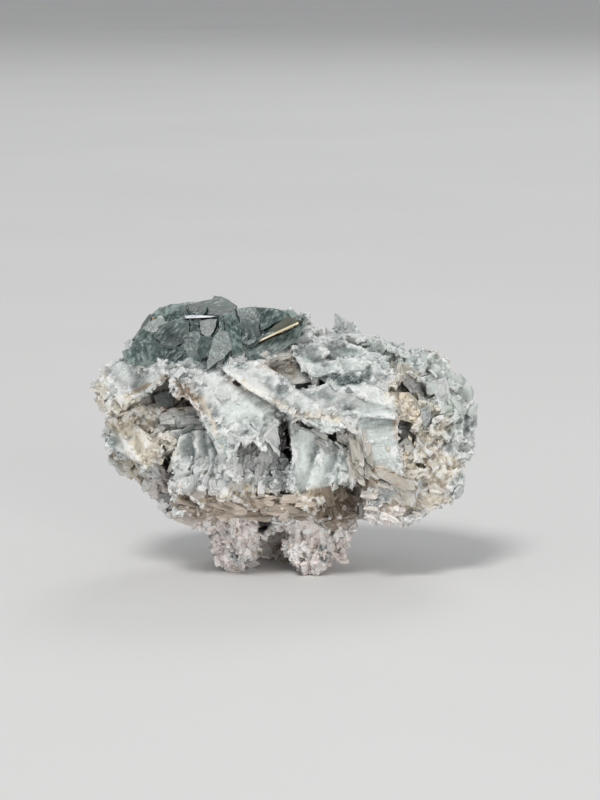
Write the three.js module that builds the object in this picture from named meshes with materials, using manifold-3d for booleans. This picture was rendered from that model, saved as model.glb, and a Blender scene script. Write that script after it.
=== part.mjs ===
// A hand-sized cluster of intergrown bladed crystals: ragged plates of a pale grey-green mineral
// lie and stand in every direction on a lumpy core, round open pockets lined with small crystals.
// It stands on two drusy lobes in front and a broad keel behind, whose undersides are worn flat.
//
// Everything is drawn in the front view, in millimetres: x to the right, z up, and y away from the
// viewer. The finished solid then leans back by VIEW_LEAN, which is how it stands on its feet.

import * as THREE from "three";
import { ConvexGeometry } from "three/addons/geometries/ConvexGeometry.js";
import { mergeVertices } from "three/addons/utils/BufferGeometryUtils.js";
import Module from "manifold-3d";

const wasm = await Module();
wasm.setup();

// Driving dimensions
const VIEW_LEAN = THREE.MathUtils.degToRad(8); // lean of the front view when the cluster stands
const FOOT_LEVEL = 1.1; // height in the leant view at which the lobes are worn flat
const EDGE_STEP = 7; // about the length between two breaks in a blade's ragged edge
const EDGE_BREAK = 0.55; // how far such a break may stand in or out
const BACK_TAPER = 0.9; // a plate's hidden face is this much smaller than its front face
const LUMP_POINTS = 30; // corners of one lump of the core
const LUMP_UNEVEN = 0.16; // how far a lump's corners may fall short of its oval
const GRAIN_POINTS = 8; // corners of one small crystal
const GRAIN_UNEVEN = 0.15; // how far a small crystal's corners may fall short of its oval
const EYE_DISTANCE = 200; // how far in front the lines of sight start that seat the small crystals
const STEP_RISE = 0.8; // height of one growth step on the face of a large plate
const STEP_OVERLAP = 0.5; // how much further back a growth step may start, as a share of the plate
const LAYER_WANDER = 0.6; // how far the layers of a stack stray from an even row
const BLADE_ROOT = 0.25; // share of a standing blade's length that lies behind its foot
const BLADE_SINK = 0.3; // share of its length by which a standing blade is rooted in the core
const SLIVER = 0.15; // edges and folds finer than this are smoothed away once all is joined

// Where the repeatable chance of each kind of growth starts
const PLATE_SEED = 1;
const STACK_SEED = 100;
const LUMP_SEED = 200;

// Colour and finish of the whole cluster
const CRYSTAL = { color: 0xb9c6c0, roughness: 0.45, metalness: 0 };

// The core: lumps of massive crystal with broken faces, each with its middle and three half widths
const CORE = [
  { name: "left half", at: [-17, 6, 31], half: [18.5, 13, 13.5] },
  { name: "right half", at: [16, 6, 29.5], half: [20, 13.5, 13] },
  { name: "middle", at: [1, 6, 30], half: [20, 14.5, 13] },
  { name: "crest", at: [-15, 6, 43], half: [14, 10.5, 9.5] },
  { name: "back shoulder", at: [7, 8, 38], half: [16, 12, 8] },
  { name: "back left", at: [-14, 11, 32], half: [16, 10, 12] },
  { name: "back right", at: [15, 11, 28], half: [15, 10, 12] },
  { name: "underside", at: [-1, 3, 19], half: [20, 12.5, 8] },
  { name: "far left tip", at: [-31, 2, 35], half: [6.5, 8.5, 7] },
  { name: "far right tip", at: [30, 3, 29.5], half: [8, 10.5, 10.5] },
];

// The lobes underneath, on which the cluster stands: two in front and a broad keel behind them
const LOBES = [
  { name: "left lobe", at: [-9.8, 1, 6.7], half: [5.8, 7, 7.2] },
  { name: "left lobe neck", at: [-6, -1, 12.5], half: [8, 8, 4.5] },
  { name: "right lobe", at: [4.8, -2.5, 6.4], half: [5.8, 7, 7.2] },
  { name: "right lobe flank", at: [8.8, 0, 10.5], half: [5, 7, 6] },
  { name: "keel", at: [-2, 12, 11], half: [12.5, 8.5, 9.6] },
];

// Hollows cut into the core before the blades are set round them
const POCKETS = [
  { name: "left pocket", at: [-25, -13, 32], half: [10, 9.5, 7] },
  { name: "left pocket floor", at: [-17, -14, 28], half: [7, 7, 6] },
  { name: "small left hole", at: [-24.2, -11, 22], half: [1.8, 8, 3.2] },
  { name: "central shaft", at: [-0.6, -12, 27], half: [2.6, 12, 6] },
  { name: "right pocket", at: [24, -14, 37.2], half: [5.2, 8, 3.4] },
  { name: "right slot", at: [23.6, -15, 28.6], half: [2.7, 9, 5] },
  { name: "crest hollow", at: [-1.5, -17, 42.5], half: [4.5, 6, 2.6] },
  { name: "slit", at: [11.5, -17, 39.6], half: [5, 8, 1.2] },
  { name: "lower cave", at: [10, -13, 15.6], half: [8.5, 9, 4.6] },
  { name: "lobe hole", at: [-4.4, -6, 10.2], half: [1.7, 6, 1.5] },
];

// Large blades that face the viewer. The outline is [x, z] points in order, depth is y at the
// outline's middle, and lean is how far the face falls back per mm to the right and per mm up.
// steps is how many smaller growth steps lie on the face.
const PLATES = [
  // The glassy crest at the upper left
  {
    name: "crest cap",
    outline: [
      [-27.4, 52.6], [-21.5, 55.2], [-17, 55.8], [-12.6, 56.6], [-9.6, 54.4], [-12, 50.4], [-24, 49.6],
    ],
    depth: -4.5, lean: [0, 1.7], thick: 2.4, steps: 1,
  },
  {
    name: "crest front",
    outline: [
      [-27, 52.4], [-22, 51.4], [-13.5, 51.6], [-9, 52], [-8.4, 46], [-13.5, 43], [-22, 42.4],
      [-29, 43.4], [-31.5, 45.4],
    ],
    depth: -11, lean: [0.05, 0.55], thick: 6, steps: 2,
  },
  {
    name: "crest shoulder",
    outline: [[-32, 46.2], [-29.4, 49.6], [-27.4, 53], [-24.4, 52.4], [-25.6, 46], [-30, 43.2]],
    depth: -8, lean: [-0.8, 0.5], thick: 5, steps: 1,
  },
  {
    name: "crest column",
    outline: [[-13.4, 52.6], [-10, 54], [-8, 45.4], [-12.4, 43.8]],
    depth: -13.5, lean: [0.1, 0.45], thick: 5, steps: 0,
  },
  {
    name: "crest pane",
    outline: [[-16, 44.2], [-12.8, 50], [-11, 46.4], [-12.6, 43]],
    depth: -14.5, lean: [0.25, 0.35], thick: 5, steps: 0,
  },
  {
    name: "right panel",
    outline: [[-10, 53.6], [-5, 53.8], [0, 53.4], [4, 52.2], [6.2, 49.4], [2, 47], [-5, 46], [-9, 45.4]],
    depth: -9.5, lean: [0.15, 0.6], thick: 5, steps: 1,
  },
  {
    name: "lower panel",
    outline: [
      [-8, 46.4], [-2, 48], [4.6, 48.6], [8.4, 46], [3.4, 43], [-1, 44], [-4.6, 41.6], [-7, 42.4],
    ],
    depth: -13.5, lean: [0.15, 0.7], thick: 6, steps: 1,
  },
  {
    name: "grey lens",
    outline: [[1.4, 46.4], [6, 47.2], [9.2, 45.2], [6.2, 42], [3.4, 41.4]],
    depth: -15.2, lean: [0.1, 0.5], thick: 5, steps: 0,
  },
  // The roof over the left pocket
  {
    name: "roof left",
    outline: [
      [-38, 38], [-36.4, 41.4], [-33, 43.4], [-28.4, 43], [-23.4, 42], [-22.4, 40.6], [-27, 37.2],
      [-31, 35.2], [-35, 33.4], [-37.4, 34.8],
    ],
    depth: -12.5, lean: [-0.65, 0.45], thick: 4.2, steps: 1,
  },
  {
    name: "saddle",
    outline: [
      [-30, 44.8], [-22, 43.8], [-14, 44], [-9, 43.4], [-9.5, 40], [-17, 40], [-22.5, 40.6], [-29, 42],
    ],
    depth: -15, lean: [-0.08, 0.8], thick: 7, steps: 1,
  },
  {
    name: "roof right",
    outline: [
      [-22.6, 41.6], [-14, 41], [-6, 36.6], [2, 32], [-0.4, 31], [-0.6, 26], [-3, 28.8], [-4.6, 27],
      [-6.2, 29], [-7.6, 26.4], [-9, 28], [-10.2, 24], [-9.2, 19.4], [-11.6, 20.8], [-14.6, 28], [-19, 36],
    ],
    depth: -19.5, lean: [0.1, 0.2], thick: 5, steps: 0,
  },
  // Inside the left pocket
  {
    name: "pocket ledge",
    outline: [[-33, 33], [-26, 34], [-19, 33], [-17.6, 30], [-26, 29], [-32, 30]],
    depth: -8.5, lean: [0, -0.3], thick: 4, steps: 1,
  },
  {
    name: "left chunk",
    outline: [[-36, 31.6], [-31, 31.6], [-27, 28.2], [-24.4, 24.6], [-28, 22.6], [-33, 25], [-35.6, 27]],
    depth: -9.5, lean: [-0.6, 0.1], thick: 8, steps: 1,
  },
  {
    name: "pocket tongue",
    outline: [[-24.6, 28], [-18, 31.2], [-14.8, 30.6], [-18.8, 27.4], [-23, 25.4]],
    depth: -12, lean: [0, 0.2], thick: 5, steps: 0,
  },
  {
    name: "blue blade",
    outline: [
      [-21, 28.6], [-16, 30], [-12.6, 27], [-10, 22], [-11.4, 17], [-17, 15.6], [-21.4, 18.4],
      [-22.4, 23],
    ],
    depth: -15.2, lean: [0.05, 0.35], thick: 7, steps: 2,
  },
  // The middle
  {
    name: "rib",
    outline: [
      [-13.4, 42.4], [-5, 43.6], [1.4, 38.6], [8, 33.4], [12.4, 30.4], [8.6, 29], [1.6, 32.6],
      [-7, 37.4],
    ],
    depth: -20.5, lean: [0.1, 0.45], thick: 9, steps: 1,
  },
  {
    name: "grey hollow",
    outline: [[-6, 45], [4.4, 45], [6.4, 39.4], [-2, 38]],
    depth: -13, lean: [0.1, 0.3], thick: 6, steps: 0,
  },
  {
    name: "shaft wall",
    outline: [[-9.4, 27], [-3, 28], [-1.8, 22], [-1.4, 17.4], [-9, 17.4], [-10.4, 22]],
    depth: -12.5, lean: [0, 0.05], thick: 6, steps: 2,
  },
  {
    name: "streaked blade",
    outline: [
      [1, 31], [5, 29.8], [13.2, 24.6], [12.6, 19.2], [8.2, 16.2], [5, 13.8], [2, 17], [1, 17.8],
    ],
    depth: -17, lean: [0.15, -0.05], thick: 9, steps: 2,
  },
  {
    name: "stub",
    outline: [[10.6, 25.4], [13.6, 25], [13.4, 20], [11, 19]],
    depth: -18.4, lean: [0.1, 0], thick: 8, steps: 0,
  },
  // The right half
  {
    name: "shelf",
    outline: [
      [3, 37.6], [10, 39.2], [18, 38.4], [21.6, 36], [22, 31.6], [16, 32.4], [11, 31], [5.6, 34.4],
    ],
    depth: -19.5, lean: [0.05, 0.55], thick: 11, steps: 1,
  },
  {
    name: "upper slab",
    outline: [
      [2, 47.2], [8, 48.4], [13, 47.2], [19.6, 44], [21, 40.4], [14, 40.8], [8.4, 42.6], [3, 42.4],
    ],
    depth: -11.5, lean: [0.05, 0.9], thick: 7, steps: 1,
  },
  {
    name: "front slab",
    outline: [[4, 43], [9, 43.4], [14, 44.2], [20, 42.6], [22.4, 38], [16, 38.6], [9, 40.6], [5, 40]],
    depth: -16, lean: [0.1, 0.6], thick: 8, steps: 1,
  },
  {
    name: "back spike",
    outline: [[10, 53.2], [11.6, 52.6], [14, 50.2], [16.6, 46.6], [15, 40], [9.4, 40], [10.4, 47]],
    depth: 6, lean: [0.2, 0.3], thick: 3, steps: 0,
  },
  {
    name: "right ridge",
    outline: [[13, 48.4], [18, 47], [23, 45], [27, 44.8], [25.4, 41], [18, 42], [13, 44]],
    depth: -4, lean: [0.1, 1.1], thick: 4, steps: 1,
  },
  {
    name: "right slope",
    outline: [[25, 44.8], [30.4, 45.6], [33, 42.4], [36, 38.4], [31, 37.4], [26, 40.6]],
    depth: -4, lean: [0.6, 0.8], thick: 4, steps: 1,
  },
  {
    name: "right wall",
    outline: [
      [29, 35], [35, 35.6], [37.6, 31], [37.4, 25], [34, 20.4], [29, 20], [26.4, 26], [26.6, 32],
    ],
    depth: -10.5, lean: [0.55, 0], thick: 8, steps: 1,
  },
  // The underside
  {
    name: "lower right blade",
    outline: [
      [16.4, 21.6], [22, 22], [29, 21.6], [35.4, 21.4], [34, 16.4], [30, 14], [25.4, 11.8], [20.4, 11.6],
      [16.4, 13.6],
    ],
    depth: -13.5, lean: [0.35, -0.3], thick: 7, steps: 2,
  },
  {
    name: "hanging spike",
    outline: [[19.6, 13], [23.4, 13.6], [24.2, 10.4]],
    depth: -10, lean: [0.1, -0.2], thick: 2.4, steps: 0,
  },
  {
    name: "lower left blade",
    outline: [[-23, 19], [-17, 20.6], [-9, 19], [-7.4, 15], [-14, 13.2], [-21, 14]],
    depth: -14, lean: [-0.05, -0.1], thick: 7, steps: 2,
  },
  {
    name: "loose flake",
    outline: [[-23.6, 13.8], [-18, 9.6], [-16.8, 11.6], [-20, 16]],
    depth: -7, lean: [0, -0.2], thick: 2.6, steps: 0,
  },
];

// Stacks of thin parallel layers, drawn by their front edge: each layer is shifted from the last
const STACKS = [
  {
    name: "stepped edge",
    outline: [[13.6, 33.2], [22, 33.4], [22.4, 31], [14, 30.8]],
    depth: -20, lean: [0.16, 0.14], thick: 10,
    layers: 7, shift: [0.1, 0.1, -1.75],
  },
  {
    name: "beige band",
    outline: [[16.8, 22], [26.4, 17.6], [26, 16.4], [16.4, 20.6]],
    depth: -17.5, lean: [0.2, -0.2], thick: 7,
    layers: 3, shift: [-0.3, 0.7, -1.2],
  },
  {
    name: "underside layers",
    outline: [[-19.6, 16], [-8, 16.8], [3, 15], [2.6, 13.4], [-8, 14.6], [-18.6, 14.4]],
    depth: -13, lean: [0, -0.2], thick: 8,
    layers: 4, shift: [0.6, 1.3, -1.3],
  },
  {
    name: "cave curtain",
    outline: [[3.4, 18], [5.6, 18.4], [6.2, 9.6], [4, 8.6]],
    depth: -8.5, lean: [0, 0.1], thick: 5,
    layers: 4, shift: [2.3, 0.5, 0.3],
  },
];

// Blades that stand free of the front view: foot is where a blade is rooted, along the way it
// grows, and face the way its flat side looks
const FREE_BLADES = [
  {
    name: "edge-lit blade",
    foot: [-6, -12.4, 47.6], along: [9.6, 1.2, 3.7], face: [-0.36, -0.25, 0.9],
    long: 11, wide: 6, thick: 0.9,
  },
  {
    name: "crest blade behind",
    foot: [-18, 6, 48], along: [0.2, 0.1, 1], face: [0.5, -0.8, 0.2],
    long: 7.2, wide: 9, thick: 2,
  },
  {
    name: "crest blade right",
    foot: [-3, 3, 46], along: [0.3, 0.1, 1], face: [-0.6, -0.8, 0.1],
    long: 7, wide: 8, thick: 2,
  },
  {
    name: "left rim blade",
    foot: [-28, 3, 40], along: [-0.5, 0.1, 0.9], face: [0.5, -0.7, 0.4],
    long: 8, wide: 8, thick: 2,
  },
];

// The sides that the front view doesn't show. Plates lie like loose shingles on ovals round the
// core and the keel, evenly spread, wherever an oval doesn't face the viewer; blades stand between.
const HIDDEN_SIDES = [
  {
    name: "main body", at: [0, 2.5, 30.5], half: [34.5, 20, 17.5], seed: 61,
    shingles: { count: 72, spread: [4.5, 8.5], thick: [3, 5], corners: [5, 6], tilt: 0.55 },
    blades: { count: 42, long: [6, 11], wide: [4, 9], thick: [1.2, 2.2], rise: [0.3, 1.1] },
  },
  {
    name: "keel", at: [-2, 12, 11], half: [10, 7.5, 8], seed: 71,
    shingles: { count: 18, spread: [2.6, 4.6], thick: [2, 3.4], corners: [4, 6], tilt: 0.7 },
    blades: { count: 6, long: [3, 5], wide: [2.5, 4.5], thick: [1, 1.6], rise: [0.3, 1] },
  },
];
const FACING_LIMIT = -0.18; // no shingle or blade where an oval faces the viewer more than this

// Patches of small stout crystals, strewn on whatever faces the viewer: middle and half widths in
// the front view
const DRUSE = [
  { name: "left tip", at: [-35, 37], half: [2.6, 4.4], count: 7, size: [1.8, 3.4], seed: 3 },
  { name: "pocket crust", at: [-31, 32.5], half: [4.6, 4], count: 13, size: [1.6, 3], seed: 5 },
  { name: "left foot crust", at: [-26.5, 19], half: [4.6, 3.4], count: 9, size: [1.8, 3.2], seed: 7 },
  { name: "right pocket rim", at: [24.6, 41.6], half: [5, 2.4], count: 9, size: [2.2, 4], seed: 9 },
  { name: "right rounded crystals", at: [33, 36.4], half: [3.4, 4.6], count: 8, size: [3, 4.8], seed: 13 },
  { name: "right crust", at: [29, 27], half: [6, 7], count: 20, size: [2, 3.8], seed: 17 },
  { name: "lower left crust", at: [-16, 17], half: [7, 3.4], count: 11, size: [1.8, 3.2], seed: 19 },
  { name: "left lobe crystals", at: [-10, 7], half: [4.8, 5.4], count: 12, size: [2, 3.8], seed: 29 },
  { name: "right lobe crystals", at: [5.4, 7], half: [6, 6], count: 15, size: [2, 3.8], seed: 31 },
];

// A repeatable source of numbers from 0 to 1
function randomFrom(seed) {
  let state = seed * 2654435761;
  return () => {
    state = (state + 0x6d2b79f5) | 0;
    let mixed = Math.imul(state ^ (state >>> 15), 1 | state);
    mixed = (mixed + Math.imul(mixed ^ (mixed >>> 7), 61 | mixed)) ^ mixed;
    return ((mixed ^ (mixed >>> 14)) >>> 0) / 4294967296;
  };
}

const GOLDEN_TURN = Math.PI * (3 - Math.sqrt(5));

const between = (random, [low, high]) => low + (high - low) * random();

// A three.js geometry as a solid that can be joined and cut
function solidOf(geometry) {
  geometry.deleteAttribute("normal");
  geometry.deleteAttribute("uv");
  const merged = mergeVertices(geometry, 1e-4);
  return new wasm.Manifold(
    new wasm.Mesh({
      numProp: 3,
      vertProperties: new Float32Array(merged.attributes.position.array),
      triVerts: new Uint32Array(merged.index.array),
    }),
  );
}

// An outline with breaks along its longer edges
function raggedOutline(outline, random) {
  return outline.flatMap(([x, z], i) => {
    const start = new THREE.Vector2(x, z);
    const end = new THREE.Vector2(...outline[(i + 1) % outline.length]);
    const along = end.clone().sub(start);
    const across = new THREE.Vector2(-along.y, along.x).normalize();
    const pieces = Math.max(1, Math.round(along.length() / EDGE_STEP));
    return Array.from({ length: pieces }, (_, k) => {
      const point = start.clone().addScaledVector(along, (k + (k ? 0.3 * (random() - 0.5) : 0)) / pieces);
      return k ? point.addScaledVector(across, EDGE_BREAK * (2 * random() - 1)) : point;
    });
  });
}

// A slab with a ragged outline in x and y, its narrower side at z = 0 and its face at z = thick
function slabGeometry(points, thick) {
  const shape = new THREE.Shape(points);
  const geometry = new THREE.ExtrudeGeometry(shape, { depth: thick, bevelEnabled: false });
  const middle = middleOf(points);
  const position = geometry.attributes.position;
  for (let i = 0; i < position.count; i++) {
    if (position.getZ(i) > thick / 2) continue;
    position.setX(i, middle.x + BACK_TAPER * (position.getX(i) - middle.x));
    position.setY(i, middle.y + BACK_TAPER * (position.getY(i) - middle.y));
  }
  return geometry;
}

function middleOf(points) {
  const sum = points.reduce((total, point) => total.add(point), new THREE.Vector2());
  return sum.divideScalar(points.length);
}

// A plate that faces the viewer: its outline is seen true in the front view
function plate({ outline, depth, lean, thick }, random) {
  const middle = middleOf(outline.map((point) => new THREE.Vector2(...point)));
  const [fallRight, fallUp] = lean;
  const back = depth + thick - fallRight * middle.x - fallUp * middle.y;
  const intoFrontView = new THREE.Matrix4().set(
    1, 0, 0, 0,
    fallRight, fallUp, -1, back,
    0, 1, 0, 0,
    0, 0, 0, 1,
  );
  return solidOf(slabGeometry(raggedOutline(outline, random), thick).applyMatrix4(intoFrontView));
}

// The part of an outline that lies beyond a line: the line crosses along, at reach from the middle
function beyond(outline, middle, along, reach) {
  const past = ([x, z]) => (x - middle.x) * along.x + (z - middle.y) * along.y - reach;
  return outline.flatMap((start, i) => {
    const end = outline[(i + 1) % outline.length];
    const [from, to] = [past(start), past(end)];
    const kept = from > 0 ? [start] : [];
    if (from > 0 === to > 0) return kept;
    const share = from / (from - to);
    return [...kept, [start[0] + share * (end[0] - start[0]), start[1] + share * (end[1] - start[1])]];
  });
}

// A plate with its growth steps: each step covers less of the face than the one below it
function steppedPlate(spec, index) {
  const random = randomFrom(PLATE_SEED + index);
  const middle = middleOf(spec.outline.map((point) => new THREE.Vector2(...point)));
  const turn = 2 * Math.PI * random();
  const along = new THREE.Vector2(Math.cos(turn), Math.sin(turn));
  const reaches = spec.outline.map(([x, z]) => new THREE.Vector2(x, z).sub(middle).dot(along));
  const layers = [plate(spec, random)];
  for (let step = 1; step <= spec.steps; step++) {
    const reach = Math.max(...reaches) * (step / (spec.steps + 1) - STEP_OVERLAP * random());
    const outline = beyond(spec.outline, middle, along, reach);
    const over = middleOf(outline.map((point) => new THREE.Vector2(...point)));
    const drift = spec.lean[0] * (over.x - middle.x) + spec.lean[1] * (over.y - middle.y);
    layers.push(plate({ ...spec, outline, depth: spec.depth + drift - STEP_RISE * step }, random));
  }
  return layers;
}

function stack({ layers, shift, ...spec }, index) {
  const random = randomFrom(STACK_SEED + index);
  const [right, away, up] = shift;
  return Array.from({ length: layers }, (_, k) => {
    const wander = LAYER_WANDER * (random() - 0.5);
    const outline = spec.outline.map(([x, z]) => [x + right * k + wander, z + up * k]);
    return plate({ ...spec, outline, depth: spec.depth + away * k + wander }, random);
  });
}

// A blade that grows from a foot: a rectangle that narrows to a slanting, chisel-like end
function freeBlade({ foot, along, face, long, wide, thick }) {
  const half = wide / 2;
  const outline = [
    [-half, -BLADE_ROOT * long], [half, -BLADE_ROOT * long], [half, 0.5 * long],
    [0.55 * half, 0.85 * long], [-0.2 * half, long], [-0.9 * half, 0.6 * long],
  ];
  const way = new THREE.Vector3(...along).normalize();
  const side = new THREE.Vector3().crossVectors(way, new THREE.Vector3(...face)).normalize();
  const out = new THREE.Vector3().crossVectors(side, way);
  const place = new THREE.Matrix4().makeBasis(side, way, out).setPosition(...foot);
  const points = outline.map((point) => new THREE.Vector2(...point));
  return solidOf(slabGeometry(points, thick).applyMatrix4(place));
}

// Spots spread evenly over an oval, leaving out what faces the viewer
function spotsOnOval({ at, half }, count, random) {
  const start = 2 * Math.PI * random();
  return Array.from({ length: count }, (_, k) => {
    const out = evenDirection(k, count, start);
    const spot = out.clone().multiply(new THREE.Vector3(...half)).add(new THREE.Vector3(...at));
    const normal = out.clone().divide(new THREE.Vector3(...half)).normalize();
    return { spot, normal };
  }).filter(({ normal }) => normal.y > FACING_LIMIT);
}

// One of count directions spread evenly all round
function evenDirection(k, count, start) {
  const height = 1 - (2 * k + 1) / count;
  const ring = Math.sqrt(1 - height * height);
  const turn = start + GOLDEN_TURN * k;
  return new THREE.Vector3(ring * Math.cos(turn), ring * Math.sin(turn), height);
}

// A direction close to the given one, turned aside by up to about tilt
function nudged(direction, tilt, random) {
  const aside = new THREE.Vector3(random() - 0.5, random() - 0.5, random() - 0.5);
  return direction.clone().addScaledVector(aside, 2 * tilt).normalize();
}

// An uneven flat polygon round the middle, as outline points
function roundedPolygon(corners, reach, random) {
  return Array.from({ length: corners }, (_, k) => {
    const turn = (2 * Math.PI * (k + 0.5 * random())) / corners;
    const length = reach * (0.7 + 0.45 * random());
    return new THREE.Vector2(length * Math.cos(turn), length * Math.sin(turn));
  });
}

// A flat slab set anywhere: its face looks along out, and its middle lies on the face
function slabAt(points, thick, spot, out, random) {
  const side = nudged(out, 2, random).cross(out).normalize();
  const place = new THREE.Matrix4().makeBasis(side, out.clone().cross(side), out);
  place.setPosition(spot.clone().addScaledVector(out, -thick));
  return solidOf(slabGeometry(points, thick).applyMatrix4(place));
}

function shingles({ at, half, seed, shingles: { count, spread, thick, corners, tilt } }) {
  const random = randomFrom(seed);
  return spotsOnOval({ at, half }, count, random).map(({ spot, normal }) => {
    const points = roundedPolygon(Math.round(between(random, corners)), between(random, spread), random);
    return slabAt(points, between(random, thick), spot, nudged(normal, tilt, random), random);
  });
}

function standingBlades({ at, half, seed, blades: { count, long, wide, thick, rise } }) {
  const random = randomFrom(seed + 1);
  return spotsOnOval({ at, half }, count, random).map(({ spot, normal }) => {
    const tangent = nudged(normal, 2, random).cross(normal).normalize();
    const along = tangent.clone().addScaledVector(normal, between(random, rise));
    const face = tangent.cross(normal).addScaledVector(normal, 1.2 * (random() - 0.5));
    const length = between(random, long);
    const foot = spot.addScaledVector(normal, -BLADE_SINK * length);
    return freeBlade({
      foot: foot.toArray(), along: along.toArray(), face: face.toArray(),
      long: length, wide: between(random, wide), thick: between(random, thick),
    });
  });
}

// The flat-faced solid that wraps uneven points strewn over an oval
function wrapped(at, half, points, unevenness, random) {
  const start = 2 * Math.PI * random();
  const strewn = Array.from({ length: points }, (_, k) => {
    const out = evenDirection(k, points, start + 0.8 * random()).multiplyScalar(1 - unevenness * random());
    return out.multiply(new THREE.Vector3(...half)).add(new THREE.Vector3(...at));
  });
  return solidOf(new ConvexGeometry(strewn));
}

function lump({ at, half }, index) {
  return wrapped(at, half, LUMP_POINTS, LUMP_UNEVEN, randomFrom(LUMP_SEED + index));
}

// Small stout crystals, each seated where a line of sight through its patch meets the surface
function druse(surface, { at, half, count, size, seed }) {
  const random = randomFrom(seed);
  return Array.from({ length: count }, () => {
    const turn = 2 * Math.PI * random();
    const far = Math.sqrt(random());
    const [x, z] = [at[0] + half[0] * far * Math.cos(turn), at[1] + half[1] * far * Math.sin(turn)];
    const sight = new THREE.Raycaster(new THREE.Vector3(x, -EYE_DISTANCE, z), new THREE.Vector3(0, 1, 0));
    const reach = [0, 0, 0].map(() => between(random, size) / 2);
    return { hit: sight.intersectObject(surface)[0], reach };
  })
    .filter(({ hit }) => hit)
    .map(({ hit, reach }) => wrapped(hit.point.toArray(), reach, GRAIN_POINTS, GRAIN_UNEVEN, random));
}

// The largest single body of a solid: drops crumbs that touch nothing and closes sealed gaps
function wholeBody(solid) {
  return solid.decompose().reduce((best, body) => (body.volume() > best.volume() ? body : best));
}

// The geometry of a solid, for a three.js mesh
function geometryOf(solid) {
  const { vertProperties, triVerts } = solid.getMesh();
  const geometry = new THREE.BufferGeometry();
  geometry.setAttribute("position", new THREE.BufferAttribute(new Float32Array(vertProperties), 3));
  return geometry.setIndex(new THREE.BufferAttribute(new Uint32Array(triVerts), 1));
}

// The cluster in the front view
function clusterInFrontView() {
  const { Manifold } = wasm;
  const core = Manifold.union([...CORE, ...LOBES].map(lump));
  const hollowCore = core.subtract(Manifold.union(POCKETS.map(lump)));
  const growth = [
    ...PLATES.flatMap(steppedPlate),
    ...STACKS.flatMap(stack),
    ...FREE_BLADES.map(freeBlade),
    ...HIDDEN_SIDES.flatMap(shingles),
    ...HIDDEN_SIDES.flatMap(standingBlades),
  ];
  const bladed = Manifold.union([hollowCore, ...growth]);
  const surface = new THREE.Mesh(geometryOf(bladed));
  return wholeBody(Manifold.union([bladed, ...DRUSE.flatMap((patch) => druse(surface, patch))]));
}

// The cluster as it stands: leant back, its feet worn flat, its footprint centred on the origin
function standing(cluster) {
  const leant = geometryOf(cluster).rotateX(-VIEW_LEAN);
  leant.computeBoundingBox();
  const size = leant.boundingBox.getSize(new THREE.Vector3()).length();
  const ground = new THREE.BoxGeometry(2 * size, 2 * size, size).translate(0, 0, FOOT_LEVEL - size / 2);
  const worn = geometryOf(wholeBody(solidOf(leant).subtract(solidOf(ground)).simplify(SLIVER)));
  worn.computeBoundingBox();
  const { min, max } = worn.boundingBox;
  return worn.translate(-(min.x + max.x) / 2, -(min.y + max.y) / 2, -min.z);
}

const cluster = new THREE.Mesh(
  standing(clusterInFrontView()),
  new THREE.MeshStandardMaterial({ ...CRYSTAL, flatShading: true }),
);
cluster.name = "crystal_cluster";

const part = new THREE.Group();
part.add(cluster);

export default part;
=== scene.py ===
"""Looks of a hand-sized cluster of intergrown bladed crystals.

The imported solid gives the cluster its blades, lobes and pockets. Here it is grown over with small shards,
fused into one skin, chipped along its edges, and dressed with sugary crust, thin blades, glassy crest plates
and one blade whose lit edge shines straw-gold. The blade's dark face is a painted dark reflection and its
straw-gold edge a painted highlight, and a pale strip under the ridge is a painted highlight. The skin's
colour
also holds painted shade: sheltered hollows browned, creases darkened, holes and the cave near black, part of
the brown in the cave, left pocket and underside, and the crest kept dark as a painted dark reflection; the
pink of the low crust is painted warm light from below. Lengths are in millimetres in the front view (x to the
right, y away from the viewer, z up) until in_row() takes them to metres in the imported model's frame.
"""

import math

import bpy
import bmesh
import numpy as np
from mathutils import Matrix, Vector
from mathutils.bvhtree import BVHTree


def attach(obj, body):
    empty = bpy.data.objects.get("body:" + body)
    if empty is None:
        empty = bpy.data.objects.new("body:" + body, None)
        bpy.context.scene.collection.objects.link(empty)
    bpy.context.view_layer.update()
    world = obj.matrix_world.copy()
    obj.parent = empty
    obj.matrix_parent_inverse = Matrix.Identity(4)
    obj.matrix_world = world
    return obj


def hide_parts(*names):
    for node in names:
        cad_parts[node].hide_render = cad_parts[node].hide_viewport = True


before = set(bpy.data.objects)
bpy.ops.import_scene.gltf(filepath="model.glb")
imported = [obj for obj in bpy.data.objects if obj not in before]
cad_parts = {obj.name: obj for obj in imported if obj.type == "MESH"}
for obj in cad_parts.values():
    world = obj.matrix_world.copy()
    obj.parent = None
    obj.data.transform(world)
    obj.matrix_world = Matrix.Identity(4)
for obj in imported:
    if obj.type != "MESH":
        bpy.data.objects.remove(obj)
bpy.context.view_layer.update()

# The front view, and how the standing cluster leans away from it
MM = 0.001
LEAN = math.radians(8)
SHIFT = np.array([0.03, -6.27, -1.10])

# Camera: the picture's scale and middle, in the front view
PICTURE_HIGH = 160.0
PICTURE_MIDDLE = (3.0, 35.6)
SCALE_DEPTH = -12.0
EYE_DISTANCE = 700.0

# Depths in the front view: well before the cluster, and where its front passes into its hidden side
VIEWER_DEPTH = -90.0
TURN_AWAY = (-3, 3)

# Skin of the cluster
SKIN_CELL = 0.32
SKIN_TRIANGLES = 190000
CHIP_DEPTH = 0.5
FACET_GRAIN = 2.1
FACET_RELIEF = 0.6
FINE_GRAIN = 1.0
FINE_RELIEF = 0.55
STREAK_RELIEF = 0.14
CREST_RELIEF = 0.15
SETTLE_SHARE = 0.92
PLANING_ROUNDS = 4
FOLD_DEGREES = 24
CAVITY_RAYS = 12
CAVITY_REACH = 9.0

# Plates: slant of the rim, steepest slope of the plane they lie along, growth past the drawn outline
CHAMFER = 0.16
STEEPEST = 0.42
PLATE_OVERLAP = 1.1

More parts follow.
